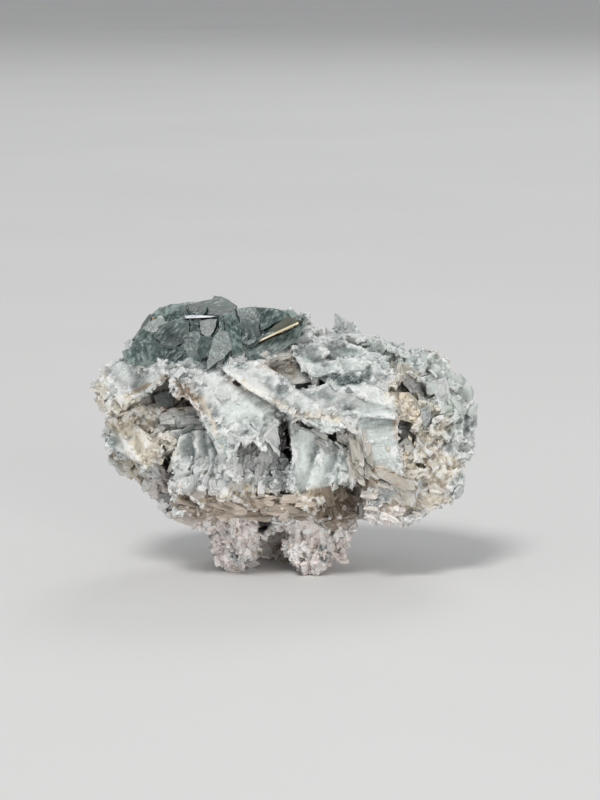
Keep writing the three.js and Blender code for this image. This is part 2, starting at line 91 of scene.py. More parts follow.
# How many small pieces grow on the cluster
EDGE_SHARDS = 760
FACE_SHARDS = 560
FUSED_CRYSTALS = 750
WHITE_GRAINS = 5200
CREAM_GRAINS = 2400
ROSE_BOUNCE_GRAINS = 1700
CREST_GRAINS = 420
TEETH = 1300
FLAKES = 1500
SPLINTERS = 26
GAP_LAYERS = 16
MARKED_LAYERS = 3
SPIKE_LAYERS = 7
CRUMBS = 180
ICY_COUNT = 18
BRASS_GRAINS = 5

# Patches of colour in the front view: middle x and z, half widths in x and z
PATCHES = {
    # teal: the crest's grey-green glass, kept dark as a painted dark reflection
    "teal_painted_dark": [
        (-15, 49.4, 12.6, 7.6), (-5.0, 49.8, 5.5, 5.0), (-0.5, 51.4, 4.5, 2.2), (11.5, 39.6, 5, 1.3),
        (-28.6, 46.0, 3.6, 3.4), (-27.4, 50.4, 3.0, 3.0),
    ],
    "green": [
        (7, 23, 6, 9), (18.5, 28, 4.5, 8), (33, 36, 5, 7), (-31, 27, 5, 5), (-31, 45, 5, 4),
        (22, 45, 12, 3.6), (-16, 27, 5, 4), (10, 41, 8, 3), (-8, 33, 5, 4), (-9, 45, 4, 3), (-30, 49, 3, 4),
    ],
    "cream": [
        (-31.5, 32.5, 5.5, 4.6), (-37, 37.5, 1.6, 4), (-27, 26, 5, 4), (28.5, 31, 5, 4.5), (29, 22.5, 6, 3.6),
        (22, 36, 2, 3), (-8, 17.4, 6, 1.6), (0, 15.4, 3.6, 2), (24.5, 41, 3, 1.6), (27, 15.4, 5.5, 2.4),
    ],
    # brown: brown stain, and painted shade in the cave, the left pocket and the underside band
    "brown_stain_and_shade": [
        (-21, 34.5, 5.5, 4.0), (9.6, 15, 7, 4.4), (24, 37.6, 3.4, 2), (23.4, 29, 2, 4), (22, 13.6, 3, 1.2),
        (30, 19, 2.4, 1.6), (-24.4, 22.6, 1.4, 2.6), (-1, 42.4, 4, 2.0),
    ],
    # rose: pinkish-white crust on the lobes and low down, its pink and brightness a painted warm light from
    # below
    "pink_bounce": [
        (-10, 7, 7.5, 8), (5.5, 7, 9, 9), (-15, 11.6, 6, 2.4), (15, 14.4, 4, 3), (-26, 18.2, 4, 2.4),
        (20, 12.6, 5, 2.4),
    ],
    # dark: holes and cavities painted near black: painted shade
    "dark": [(-0.4, 27.6, 1.5, 4.2), (-4.2, 10.2, 1.7, 1.4), (-24.3, 22.4, 0.9, 2), (24, 28.4, 1, 2.6)],
    "frost": [
        (6, 23, 4, 6), (-31.5, 39.6, 6, 5), (8, 36, 6, 4), (-10, 36, 5, 5), (17, 34, 4, 2.6), (-14, 19, 8, 4),
        (30, 15, 5, 3), (-6, 41.6, 4, 2),
    ],
}
# Stained bands: ends in the front view (x, z) and half width; the brown band along the underside is partly
# painted shade
BANDS = {
    "cream": [
        ((-10.5, 40.0), (3.0, 32.4), 0.55), ((4.0, 32.6), (11.0, 31.6), 0.5),
        ((-16.4, 35.8), (-12.4, 25.8), 0.4),
    ],
    "brown_stain_and_shade": [
        ((-23.6, 40.2), (-16.4, 35.8), 0.5), ((-24.0, 40.0), (-33.0, 36.0), 0.5),
        ((18.2, 21.8), (25.4, 18.4), 1.1), ((-20.0, 15.6), (3.0, 13.8), 2.0),
        ((13.2, 27.4), (17.4, 19.8), 1.8),
    ],
}
# Clearer grey spots, in the same form as the patches
GREY = [
    (6, 36.6, 4, 1.4), (-1, 38.2, 3, 1.2), (12, 34.4, 2.4, 1.6), (8, 43.6, 4, 1.2), (16, 41.4, 3, 1.2),
    (-28, 39, 2.4, 1), (-17, 27.4, 5, 3.4), (5.4, 25.4, 0.9, 2.2), (3.6, 45.6, 3, 1.3), (13, 46.6, 4, 1.4),
    (37, 32, 1.3, 2.6), (-9, 44, 2.4, 1.4), (-31, 28, 4.4, 4.0), (7.5, 4.6, 1.3, 1.8), (-9.6, 3.6, 1.8, 1.4),
    (8.4, 10, 1, 2.2), (23, 22.6, 2, 1.2), (28, 16, 2, 1), (19, 14.6, 1.4, 1.2), (-14.8, 31, 1.6, 4.6),
]
# The glassy crest as a rounded box in three axes, its lowest height, and the spike behind the roof
CREST = {"at": (-13, 0, 50), "half": (18, 22, 7.2)}
CREST_FOOT = 43
SPIKE_PATCH = (12.5, 51.0, 4.5, 4.0)

# Front lobes: middle and half width in x, and the share that their feet are drawn in
LOBES = [(-10.4, 7.0), (5.6, 8.0)]
LOBE_DRAW = 0.3

# Large blade faces that stay smooth, in the same form as the patches
SMOOTH = [
    (-9.5, 36.5, 7, 6), (-31, 40, 6, 3), (-2, 40, 8, 3.6), (8, 36.4, 8, 2.8), (16, 36.6, 6, 3.4),
    (18.5, 28, 4.4, 7.6), (6, 23.8, 5.4, 6.4), (-17, 27.2, 5.4, 4.2), (10, 44, 8, 3), (-31, 27.6, 4, 4),
    (24, 16, 7, 2.6), (0, 48, 6, 2.4), (-14, 48.6, 14, 6.6), (-13, 40.6, 4, 3),
]

# Which way the streaks of a blade lie, in patches of the front view; elsewhere chance decides
STREAK_WAYS = {"across": (1, 0, 0.1), "upright": (-0.12, 0, 1), "slant": (0.7, 0, 0.7)}
STREAKS = {
    "across": [(18.5, 27, 5, 8), (-6, 14, 14, 3), (20, 44, 12, 3)],
    "upright": [(7, 23, 7, 9), (-9, 48, 3, 6), (-16, 24, 6, 5), (-7, 22, 3, 5), (10, 12, 6, 4)],
}

# Plates of the crest: how pale, the way the streaks lie, how far it stands proud, outline in the front view
CREST_PLATES = [
    (0.05, "across", 1.1, [
        (-20.1, 53.7), (-17.7, 55.2), (-13.1, 56.3), (-10.1, 54.5), (-10.4, 53.0), (-19.4, 52.6),
    ]),
    (0.66, "slant", 1.0, [
        (-26.4, 53.0), (-25.1, 54.2), (-21.7, 54.9), (-20.1, 54.8),
        (-20.6, 53.2), (-22.4, 51.5), (-25.1, 52.3),
    ]),
    (0.55, "slant", 0.9, [
        (-28.4, 50.0), (-27.2, 51.3), (-25.1, 52.0), (-23.7, 51.2), (-25.1, 49.7), (-27.1, 49.0),
    ]),
    (0.12, "slant", 1.5, [
        (-25.1, 50.3), (-22.4, 51.3), (-19.7, 51.0), (-19.6, 47.7),
        (-22.1, 46.5), (-24.7, 47.0), (-25.7, 48.3),
    ]),
    (0.00, "upright", 1.0, [(-19.1, 51.3), (-17.4, 51.5), (-17.4, 49.3), (-18.9, 49.5)]),
    (0.40, "upright", 1.0, [(-19.9, 49.2), (-17.1, 49.0), (-17.4, 44.7), (-19.4, 44.3), (-19.9, 47.0)]),
    (0.26, "slant", 0.9, [(-17.1, 51.3), (-13.7, 51.7), (-14.4, 49.3), (-15.4, 48.0), (-16.7, 49.0)]),
    (0.28, "upright", 0.9, [
        (-16.7, 48.3), (-14.7, 48.0), (-14.4, 47.0), (-15.4, 44.7), (-16.7, 43.7), (-17.7, 44.7),
    ]),
    (0.46, "upright", 2.0, [
        (-14.2, 47.7), (-12.7, 49.2), (-11.4, 49.0), (-10.7, 45.7),
        (-12.1, 44.0), (-15.4, 41.7), (-15.1, 44.0),
    ]),
    (0.62, "upright", 1.3, [
        (-12.1, 52.3), (-10.4, 52.7), (-9.1, 50.7), (-8.6, 47.3),
        (-8.6, 45.3), (-10.4, 44.7), (-11.2, 47.0),
    ]),
    (0.12, "upright", 1.7, [(-8.9, 51.7), (-5.4, 51.3), (-5.1, 47.7), (-8.1, 45.7), (-8.6, 48.0)]),
    (0.50, "upright", 1.0, [(-10.1, 53.7), (-5.7, 54.2), (-4.7, 50.3), (-5.4, 51.3), (-8.9, 51.7)]),
    (0.52, "slant", 1.9, [(-5.7, 54.0), (-1.4, 53.7), (0.9, 52.7), (-2.4, 51.0), (-4.6, 49.7)]),
    (0.80, "slant", 1.4, [(-1.4, 53.7), (1.9, 53.3), (3.6, 51.7), (2.6, 51.3), (0.9, 52.5)]),
    (0.62, "slant", 1.0, [
        (-7.7, 45.3), (-4.4, 47.0), (-1.4, 48.3), (3.3, 50.3), (1.9, 47.0), (-1.4, 45.3), (-5.4, 43.3),
    ]),
    (0.22, "upright", 0.8, [(-7.7, 45.0), (-5.4, 44.7), (-4.1, 44.0), (-5.1, 42.3), (-6.7, 43.3)]),
    (0.22, "slant", 0.8, [
        (-26.1, 47.0), (-22.1, 46.3), (-20.1, 46.3), (-20.4, 43.3), (-23.4, 42.7), (-25.4, 44.0),
    ]),
    (0.58, "upright", 1.0, [
        (-32.1, 45.3), (-28.4, 47.0), (-25.7, 46.7), (-25.4, 43.7), (-27.4, 42.7), (-31.4, 43.0),
    ]),
    (0.50, "slant", 0.9, [(-30.4, 47.7), (-28.4, 49.7), (-25.7, 48.7), (-26.4, 47.0), (-29.7, 46.3)]),
]

# Blade with one lit edge, pale strip under the ridge, brassy glint, and the icy patch (as the patches are);
# the blade's face is a painted dark reflection, its lit edge and the pale strip are painted highlights
LIT_FACE = [(-5.2, 47.4), (-2.1, 50.5), (0.5, 52.3), (3.6, 51.3), (2.6, 51.0)]
LIT_EDGE = [(-5.3, 47.1), (2.7, 50.75), (2.6, 51.15), (-5.1, 47.6)]
HIGHLIGHT_STRIP = [(-20.2, 52.5), (-18.7, 52.7), (-13.6, 52.5), (-14.9, 52.2), (-20.0, 52.0)]
GLINT = (-26.6, 51.7)
ICY_CHUNKS = (33.5, 38.0, 4.2, 5.6)

# The blade that stands up behind, seen over the roof
SPIKE = [
    (10.0, 53.4), (10.7, 53.3), (12.0, 52.2), (13.2, 51.7), (14.6, 50.2),
    (15.6, 49.4), (15.8, 47.6), (13.3, 46.4), (10.8, 47.0), (10.5, 50.4),
]

# Plates that close gaps between the blades: outline in the front view, how far behind the front, masks
GAP_PLATES = [
    ([(5.6, 40.6), (8.4, 41.9), (15.8, 38.6), (13.5, 37.4), (9.6, 38.4), (5.2, 39.2)], 0.7, {"teal_painted_dark": 0.75}),
    ([(-3.4, 24.0), (0.7, 24.4), (1.1, 19.4), (-2.2, 18.8)], 1.6, {"grey": 0.5, "frost": 0.2}),
    ([
        (20.4, 35.6), (24.0, 36.6), (28.0, 34.4), (26.4, 32.0), (22.0, 32.2),
    ], 0.6, {"cream": 0.6, "brown_stain_and_shade": 0.3}),
    ([(21.0, 26.4), (25.4, 27.0), (26.6, 23.4), (22.2, 22.8)], 0.4, {"frost": 0.5, "cream": 0.3}),
    ([(9.6, 30.6), (13.6, 30.8), (14.4, 27.2), (11.4, 27.2)], 1.4, {"brown_stain_and_shade": 0.4, "frost": 0.3}),
    ([
        (-13.4, 43.6), (-11.0, 45.6), (-8.2, 45.2), (-6.2, 42.6), (-9.0, 41.0), (-12.8, 41.2),
    ], 0.2, {"frost": 0.6}),
]

# Single plates that show plainly: outline in the front view, how far they stand proud, masks
MARKED_PLATES = [
    ([
        (17.8, 22.1), (19.3, 21.9), (25.8, 19.2), (25.6, 17.6), (23.2, 17.8), (17.6, 20.7),
    ], 1.1, {"brown_stain_and_shade": 0.55, "cream": 0.3}),
    ([
        (-23.4, 13.2), (-22.5, 13.5), (-17.1, 11.8), (-17.3, 10.8), (-18.4, 10.0), (-23.2, 12.2),
    ], 0.9, {"brown_stain_and_shade": 0.4, "pink_bounce": 0.5}),
    ([(-4.3, 28.6), (-2.0, 31.0), (-1.1, 28.0), (-1.0, 24.2), (-2.4, 25.8)], 0.4, {"frost": 0.6}),
    ([(-7.9, 26.6), (-6.9, 27.2), (-6.5, 24.0), (-7.2, 24.6)], 0.4, {"frost": 0.6}),
    ([(22.4, 12.6), (24.0, 12.4), (24.6, 10.6), (23.0, 10.9)], 0.4, {"cream": 0.3}),
    ([(26.8, 33.6), (28.6, 34.6), (29.6, 31.6), (28.0, 29.6), (26.6, 31.2)], 0.6, {"grey": 0.3}),
    ([(23.6, 41.6), (27.4, 42.4), (27.8, 38.6), (25.4, 36.8), (23.8, 38.8)], 0.6, {"frost": 0.5}),
    ([(29.2, 39.6), (32.4, 40.4), (33.6, 36.4), (31.0, 34.6)], 0.5, {"frost": 0.3}),
    ([(22.8, 30.6), (25.0, 30.2), (25.6, 27.2), (23.4, 26.6)], 2.2, {"grey": 0.25, "frost": 0.2}),
    ([(-26.6, 36.4), (-23.4, 37.4), (-22.4, 34.4), (-25.8, 33.4)], 2.0, {"grey": 0.5}),
    ([(-22.8, 32.4), (-17.4, 32.8), (-16.2, 30.4), (-21.6, 30.0)], 1.2, {"grey": 0.3}),
]

# Blades grown side by side: patch of the front view, way they lie, lengths, width to length, count, how
# shut in the skin must be, masks
POCKETS = [
    ((-5.8, 25.0, 3.4, 5.4), (0.05, -0.2, 1), (3.0, 6.5), 0.3, 40, 0.2, {"brown_stain_and_shade": 0.1, "frost": 0.3}),
    ((-2.6, 20.6, 2.4, 2.2), (0.6, -0.3, 0.7), (1.4, 3.2), 0.5, 24, 0.1, {"grey": 0.4}),
    ((-21.0, 36.0, 5.0, 2.8), (0.75, -0.2, 0.5), (2.5, 5.5), 0.17, 60, 0.42, {"brown_stain_and_shade": 0.45, "cream": 0.3}),
    ((-21.0, 31.4, 4.6, 1.8), (0.9, -0.3, 0.15), (2.0, 4.5), 0.35, 30, 0.2, {"brown_stain_and_shade": 0.15, "frost": 0.3}),
    ((22.6, 39.4, 2.4, 2.6), (0.3, -0.3, 1), (2.0, 4.0), 0.3, 28, 0.2, {"brown_stain_and_shade": 0.3, "cream": 0.4}),
    ((23.8, 30.0, 1.8, 4.6), (0.35, -0.3, 1), (1.6, 4.0), 0.3, 40, 0.2, {"brown_stain_and_shade": 0.25, "grey": 0.2}),
    # The cave's blades: brown, and half dark as painted shade
    ((11.4, 15.4, 5.0, 3.2), (-0.35, -0.2, 1), (2.5, 5.5), 0.3, 100, 0.25, {"brown_stain_and_shade": 1.0, "dark": 0.5}),
    ((-1.4, 42.6, 3.6, 2.0), (0.8, -0.2, 0.5), (1.5, 4.0), 0.3, 30, 0.2, {"brown_stain_and_shade": 0.4}),
    ((9.6, 28.6, 3.4, 2.6), (0.8, -0.2, -0.6), (2.0, 4.5), 0.3, 44, 0.2, {"brown_stain_and_shade": 0.25, "frost": 0.2}),
    ((15.0, 24.4, 1.6, 4.0), (0.3, -0.2, -1), (3.0, 7.0), 0.2, 50, 0.0, {"brown_stain_and_shade": 0.4, "cream": 0.2}),
    ((-8.0, 14.4, 12.0, 2.0), (1, -0.1, -0.08), (3.0, 8.0), 0.2, 110, 0.12, {"brown_stain_and_shade": 0.75, "pink_bounce": 0.4}),
    ((24.0, 15.6, 9.0, 3.6), (1, -0.1, -0.35), (1.6, 4.0), 0.3, 46, 0.0, {"cream": 0.25, "pink_bounce": 0.5}),
    ((-11.0, 21.0, 8.0, 3.0), (0.2, -0.3, 1), (1.4, 3.4), 0.45, 56, 0.0, {"frost": 0.6}),
]

# Colours of the skin, each a row of (place, colour) from shadowed to frosted
MILK = (
    (0.08, (0.20, 0.228, 0.224, 1)), (0.36, (0.42, 0.455, 0.448, 1)),
    (0.60, (0.63, 0.655, 0.650, 1)), (0.90, (0.80, 0.813, 0.808, 1)),
)
# GLASS_PAINTED_DARK: grey-green glass of the crest, kept dark as a painted dark reflection
GLASS_PAINTED_DARK = (
    (0.08, (0.012, 0.030, 0.030, 1)), (0.40, (0.038, 0.074, 0.071, 1)),
    (0.70, (0.112, 0.172, 0.165, 1)), (1.00, (0.43, 0.54, 0.52, 1)),
)
CREAM = ((0.1, (0.50, 0.42, 0.29, 1)), (0.5, (0.75, 0.68, 0.54, 1)), (0.9, (0.89, 0.86, 0.78, 1)))
# UMBER_STAIN_AND_SHADE: brown stain, also painted shade in the cave, left pocket and underside
UMBER_STAIN_AND_SHADE = ((0.1, (0.11, 0.068, 0.030, 1)), (0.5, (0.30, 0.208, 0.115, 1)), (0.9, (0.60, 0.465, 0.31, 1)))
# ROSE_BOUNCE: crust colour, pink and bright as painted warm light from below
ROSE_BOUNCE = ((0.1, (0.68, 0.56, 0.51, 1)), (0.45, (0.97, 0.86, 0.80, 1)), (0.9, (0.98, 0.95, 0.93, 1)))
GREEN_TINT = (0.945, 1.0, 0.985, 1)
# HOLE_SHADE: near black, painted shade for holes and the cave
HOLE_SHADE = (0.012, 0.011, 0.010, 1)
PALE_RIM = (0.64, 0.75, 0.73, 1)

# Colours of the crusts, the icy crystals and the lit faces (painted dark reflection and painted highlights):
# two ends each
WHITE_GRAIN = ((0.86, 0.88, 0.87, 1), (0.56, 0.60, 0.60, 1))
CREAM_GRAIN = ((0.87, 0.84, 0.76, 1), (0.62, 0.53, 0.39, 1))
# ROSE_BOUNCE_GRAIN: the pink is painted warm light from below
ROSE_BOUNCE_GRAIN = ((0.98, 0.95, 0.94, 1), (0.84, 0.73, 0.68, 1))
ICY = (0.60, 0.66, 0.62, 1)
ICY_INSIDE = (0.80, 0.92, 0.86, 1)
# DARK_FACE_REFLECTION: painted dark reflection on the lit blade's face
DARK_FACE_REFLECTION = ((0.055, 0.058, 0.045, 1), (0.16, 0.165, 0.13, 1))
# LIT_EDGE_HIGHLIGHT: painted highlight along the lit edge
LIT_EDGE_HIGHLIGHT = ((0.62, 0.50, 0.30, 1), (0.86, 0.78, 0.58, 1))
# HIGHLIGHT_PEARL: painted highlight of the pale strip
HIGHLIGHT_PEARL = ((0.52, 0.54, 0.60, 1), (0.86, 0.86, 0.90, 1))
BRASS = ((0.55, 0.40, 0.16, 1), (0.75, 0.60, 0.30, 1))

# Floor, surrounding light, and lamps: name, place, aim, width, power, colour; in metres and watts
FLOOR_RADIUS = 14.0
WORLD_COLOR = (0.92, 0.93, 0.94, 1)
WORLD_STRENGTH = 0.42
LAMPS = [
    ("key_light", (-0.6, -1.5, 2.1), (0, 0, 0.03), 0.8, 33.0, (1.0, 0.99, 0.97)),
    ("fill_light", (0.9, -2.4, 0.25), (0, 0, 0.02), 1.4, 30.0, (1.0, 0.965, 0.93)),
    ("back_light", (0.5, 2.0, 1.6), (0, 0, 0.04), 1.0, 9.0, (1.0, 1.0, 1.0)),
]


def in_row(points):
    """Points of the front view, in millimetres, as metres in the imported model's frame."""
    x, y, z = np.asarray(points, float).reshape(-1, 3).T
    leant = np.stack([x, y * math.cos(LEAN) + z * math.sin(LEAN), z * math.cos(LEAN) - y * math.sin(LEAN)], 1)
    return (leant + SHIFT) * MM


def in_front_view(points):
    """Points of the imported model's frame, in metres, as millimetres in the front view."""
    x, y, z = (np.asarray(points, float).reshape(-1, 3) / MM - SHIFT).T
    return np.stack([x, y * math.cos(LEAN) - z * math.sin(LEAN), z * math.cos(LEAN) + y * math.sin(LEAN)], 1)


def unit(vectors):
    length = np.linalg.norm(vectors, axis=-1, keepdims=True)
    return vectors / np.maximum(length, 1e-12)


def chance(cells, seed):
    """A fixed chance value from 0 to 1 for each cell of a grid."""
    value = cells[:, 0] * 374761393 + cells[:, 1] * 668265263 + cells[:, 2] * 1440662683 + seed * 97471
    value = (value ^ (value >> 13)) * 1274126177
    return ((value ^ (value >> 16)) & 0xFFFF) / 65535


def cloud(points, grain, seed):
    """Smooth noise from 0 to 1 that changes over about one grain; points are in millimetres."""
    place = points / grain
    low = np.floor(place).astype(np.int64)
    part = place - low
    part = part * part * (3 - 2 * part)
    total = np.zeros(len(points))
    for corner in np.ndindex(2, 2, 2):
        share = np.where(corner, part, 1 - part).prod(axis=1)
        total += share * chance(low + np.array(corner), seed)
    return total


def facets(points, grain, seed):
    """Flat facets about one grain wide: a height that tilts each its own way, and a tone for each."""
    place = points / grain
    low = np.floor(place).astype(np.int64)
    nearest = np.full(len(points), np.inf)
    height = np.zeros(len(points))
    tone = np.zeros(len(points))
    for step in np.ndindex(3, 3, 3):
        cell = low + np.array(step) - 1
        middle = cell + np.stack([chance(cell, seed + k) for k in range(3)], 1)
        away = place - middle
        distance = (away * away).sum(1)
        closer = distance < nearest
        nearest[closer] = distance[closer]
        tilt = np.stack([chance(cell[closer], seed + 3 + k) for k in range(3)], 1) - 0.5
        height[closer] = (away[closer] * tilt).sum(1)
        tone[closer] = chance(cell[closer], seed + 6)
    return height * grain, tone


def rising(value, low, high):
    """0 up to low, 1 from high, and a smooth rise between."""
    t = np.clip((value - low) / (high - low), 0, 1)
    return t * t * (3 - 2 * t)


def patch_mask(front, patches, bands=()):
    """How far points of the front view lie inside any of the patches or bands, with uneven borders."""
    sway = np.stack([cloud(front, 2.2, 5), cloud(front, 2.2, 6)], 1) - 0.5
    flat = front[:, [0, 2]] + 2.6 * sway
    mask = np.zeros(len(front))
    for middle_x, middle_z, half_x, half_z in patches:
        away = np.hypot((flat[:, 0] - middle_x) / half_x, (flat[:, 1] - middle_z) / half_z)
        mask = np.maximum(mask, 1 - rising(away, 0.75, 1.2))
    flat = front[:, [0, 2]] + 0.8 * sway
    for start, end, half in bands:
        start = np.array(start)
        way = np.array(end) - start
        share = np.clip((flat - start) @ way / (way @ way), 0, 1)
        away = np.linalg.norm(flat - start - share[:, None] * way, axis=1) / half
        mask = np.maximum(mask, 1 - rising(away, 0.6, 1.3))
    return mask


def in_crest(points):
    """1 inside the glassy crest, 0 away from it."""
    away = np.linalg.norm((points - np.array(CREST["at"])) / np.array(CREST["half"]), axis=1)
    return 1 - rising(away, 0.8, 1.1)


def hidden_side(points):
    """0 on the front, 1 on the side turned away from the viewer."""
    return rising(points[:, 1], *TURN_AWAY)


def calmness(points):
    """1 on large smooth blade faces, 0 where the surface is broken into small crystals."""
    seen = patch_mask(points, SMOOTH) * (1 - hidden_side(points))
    hidden = hidden_side(points) * rising(cloud(points, 11, 91), 0.46, 0.6)
    return np.maximum(np.maximum(seen, hidden), in_crest(points))


def crispness(points):
    """1 where no shards or teeth grow: on the crest and on the spike behind the roof."""
    return np.maximum(in_crest(points), patch_mask(points, [SPIKE_PATCH]))


def growth_lines(points, way, wide, long):
    """Ridges from 0 to 1 that run along a direction."""
    way = unit(np.array(way, float))
    along = points @ way
    flat = points - along[:, None] * way
    return cloud(flat / wide + along[:, None] * way / long, 1.0, 95)


# Meshes

def arrays_of(mesh):
    """Vertices and triangles of a mesh as arrays."""
    mesh.calc_loop_triangles()
    points = np.zeros(len(mesh.vertices) * 3, np.float32)
    mesh.vertices.foreach_get("co", points)
    corners = np.zeros(len(mesh.loop_triangles) * 3, np.int32)
    mesh.loop_triangles.foreach_get("vertices", corners)
    return points.reshape(-1, 3).astype(float), corners.reshape(-1, 3)


def mesh_from(name, points, triangles):
    mesh = bpy.data.meshes.new(name)
    mesh.vertices.add(len(points))
    mesh.vertices.foreach_set("co", np.asarray(points, np.float32).ravel())
    mesh.loops.add(3 * len(triangles))
    mesh.loops.foreach_set("vertex_index", np.asarray(triangles, np.int32).ravel())
    mesh.polygons.add(len(triangles))
    mesh.polygons.foreach_set("loop_start", 3 * np.arange(len(triangles), dtype=np.int32))
    mesh.update(calc_edges=True)
    mesh.validate()
    mesh.shade_flat()
    return mesh


def placed(name, mesh):
    piece = bpy.data.objects.new(name, mesh)
    bpy.context.scene.collection.objects.link(piece)
    return piece


def applied(piece, kind, **values):
    """The piece's mesh with one modifier applied."""
    modifier = piece.modifiers.new(kind.lower(), kind)
    for key, value in values.items():
        setattr(modifier, key, value)
    grown = bpy.data.meshes.new_from_object(piece.evaluated_get(bpy.context.evaluated_depsgraph_get()))
    piece.modifiers.clear()
    old = piece.data
    piece.data = grown
    bpy.data.meshes.remove(old)
    return piece


def set_mask(mesh, name, values):
    mask = mesh.attributes.new(name, "FLOAT", "POINT")
    mask.data.foreach_set("value", np.asarray(values, np.float32))


class Growth:
    """Small closed solids gathered into one mesh."""

    def __init__(self):
        self.points = []
        self.triangles = []
        self.count = 0

    def add(self, points, triangles):
        self.points.append(np.asarray(points, float))
        self.triangles.append(np.asarray(triangles, int) + self.count)
        self.count += len(points)

    def arrays(self):
        return np.concatenate(self.points), np.concatenate(self.triangles)


def slab(outline, thick, taper, spot, out, along):
    """A flat slab round spot: its face looks along out, its outline's second axis lies along."""
    side = np.cross(along, out)
    flat = outline[:, :1] * side + outline[:, 1:] * along
    points = np.concatenate([spot + flat + 0.5 * thick * out, spot + taper * flat - 0.5 * thick * out])
    n = len(outline)
    ring = np.arange(n)
    after = (ring + 1) % n
    fan = np.stack([np.zeros(n - 2, int), np.arange(1, n - 1), np.arange(2, n)], 1)
    walls = [np.stack([ring, ring + n, after], 1), np.stack([after, ring + n, after + n], 1)]
    return points, np.concatenate([fan, fan[:, ::-1] + n, *walls])


def shard_outline(random, long, wide, corners):
    """A broken blade: two nearly parallel sides, slanting ends, and a few more corners at the tip."""
    half = 0.5 * wide
    tip = np.sort(random.uniform(-0.8, 0.8, corners - 4))[::-1]
    rise = random.uniform(0.82, 1.0, corners - 4)
    right = [(half * random.uniform(0.8, 1.0), random.uniform(-1.0, -0.8)), (half, random.uniform(0.45, 0.9))]
    left = [(-half, random.uniform(0.35, 0.9))]
    left.append((-half * random.uniform(0.7, 1.0), random.uniform(-1.0, -0.7)))
    outline = np.array([*right, *zip(half * tip, rise), *left])
    outline[:, 1] *= 0.5 * long
    return outline


def spots_on(points, triangles, weights, count, random):
    """Places strewn on a surface, by area times weight: positions, normals and triangle numbers."""
    a, b, c = (points[triangles[:, k]] for k in range(3))
    cross = np.cross(b - a, c - a)
    likely = np.linalg.norm(cross, axis=1) * weights
    picked = random.choice(len(triangles), count, p=likely / likely.sum())
    u = np.sqrt(random.random(count))[:, None]
    v = random.random(count)[:, None]
    spots = (1 - u) * a[picked] + u * (1 - v) * b[picked] + u * v * c[picked]
    return spots, unit(cross[picked]), picked


# The skin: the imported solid, grown over with shards and fused

def welded(points, triangles):
    """The same surface with corners that lie in one place made one."""
    key = np.round(points, 4)
    _, first, same = np.unique(key, axis=0, return_index=True, return_inverse=True)
    a, b, c = same.reshape(-1)[triangles].T
    sound = (a != b) & (b != c) & (c != a)
    return points[first], np.stack([a, b, c], 1)[sound]


def sharp_edges(points, triangles):
    """Outward folds of a solid: both ends, the two faces' normals, and the way out of the first face."""
    a, b, c = (points[triangles[:, k]] for k in range(3))
    normals = unit(np.cross(b - a, c - a))
    middles = (a + b + c) / 3
    ends = np.concatenate([triangles[:, [0, 1]], triangles[:, [1, 2]], triangles[:, [2, 0]]])
    owner = np.tile(np.arange(len(triangles)), 3)
    order = np.lexsort(np.sort(ends, 1).T)
    ends, owner = np.sort(ends, 1)[order], owner[order]
    pair = np.flatnonzero((ends[1:] == ends[:-1]).all(1))
    one, two = owner[pair], owner[pair + 1]
    start, end = points[ends[pair, 0]], points[ends[pair, 1]]
    fold = (normals[one] * normals[two]).sum(1)
    outward = ((middles[two] - start) * normals[one]).sum(1) < -1e-4
    keep = (fold < 0.8) & outward & (np.linalg.norm(end - start, axis=1) > 0.6)
    way = unit(end - start)
    away = np.cross(way, normals[one])
    flip = np.sign(((0.5 * (start + end) - middles[one]) * away).sum(1))[:, None]
    return start[keep], end[keep], normals[one][keep], (away * flip)[keep]


def edge_shards(growth, points, triangles, count, random):
    """Ragged teeth that carry the blades on past their straight edges."""
    start, end, normals, away = sharp_edges(points, triangles)
    length = np.linalg.norm(end - start, axis=1)
    picked = random.choice(len(start), count, p=length / length.sum())
    share = random.random(count)[:, None]
    spots = (1 - share) * start[picked] + share * end[picked]
    kept = crispness(spots) < 0.05
    picked = picked[kept]
    spots = spots[kept]
    for spot, normal, out in zip(spots, normals[picked], away[picked]):
        along = unit(out + 0.7 * random.normal(size=3))
        face = unit(normal - (normal @ along) * along + 0.15 * random.normal(size=3))
        along = unit(along - (along @ face) * face)
        long = random.uniform(1.2, 3.6)
        outline = shard_outline(random, long, random.uniform(0.5, 1.1) * long * 0.7, random.integers(5, 8))
        thick = random.uniform(0.45, 1.0)
        growth.add(*slab(outline, thick, 0.9, spot - 0.35 * thick * face - 0.15 * long * along, face, along))


def face_shards(growth, points, triangles, weights, count, random):
    """Thin growth layers that lie nearly flat on the faces."""
    spots, normals, _ = spots_on(points, triangles, weights, count, random)
    for spot, normal in zip(spots, normals):
        face = unit(normal + 0.28 * random.normal(size=3))
        along = unit(np.cross(face, random.normal(size=3)))
        long = random.uniform(2.5, 7.5)
        outline = shard_outline(random, long, random.uniform(0.35, 0.8) * long, random.integers(5, 9))
        growth.add(*slab(outline, random.uniform(0.5, 1.1), 0.92, spot + 0.05 * normal, face, along))


def crystal_shapes(count, corners, random):
    """A few small flat-faced crystals of half width 1, each as points and triangles."""
    shapes = []
    for _ in range(count):
        hull = bmesh.new()
        for direction in unit(random.normal(size=(corners, 3))):
            hull.verts.new(direction)
        bmesh.ops.convex_hull(hull, input=hull.verts)
        loose = [v for v in hull.verts if not v.link_faces]
        bmesh.ops.delete(hull, geom=loose, context="VERTS")
        bmesh.ops.triangulate(hull, faces=hull.faces)
        hull.verts.index_update()
        points = np.array([v.co[:] for v in hull.verts])
        shapes.append((points, np.array([[v.index for v in f.verts] for f in hull.faces])))
        hull.free()
    return shapes


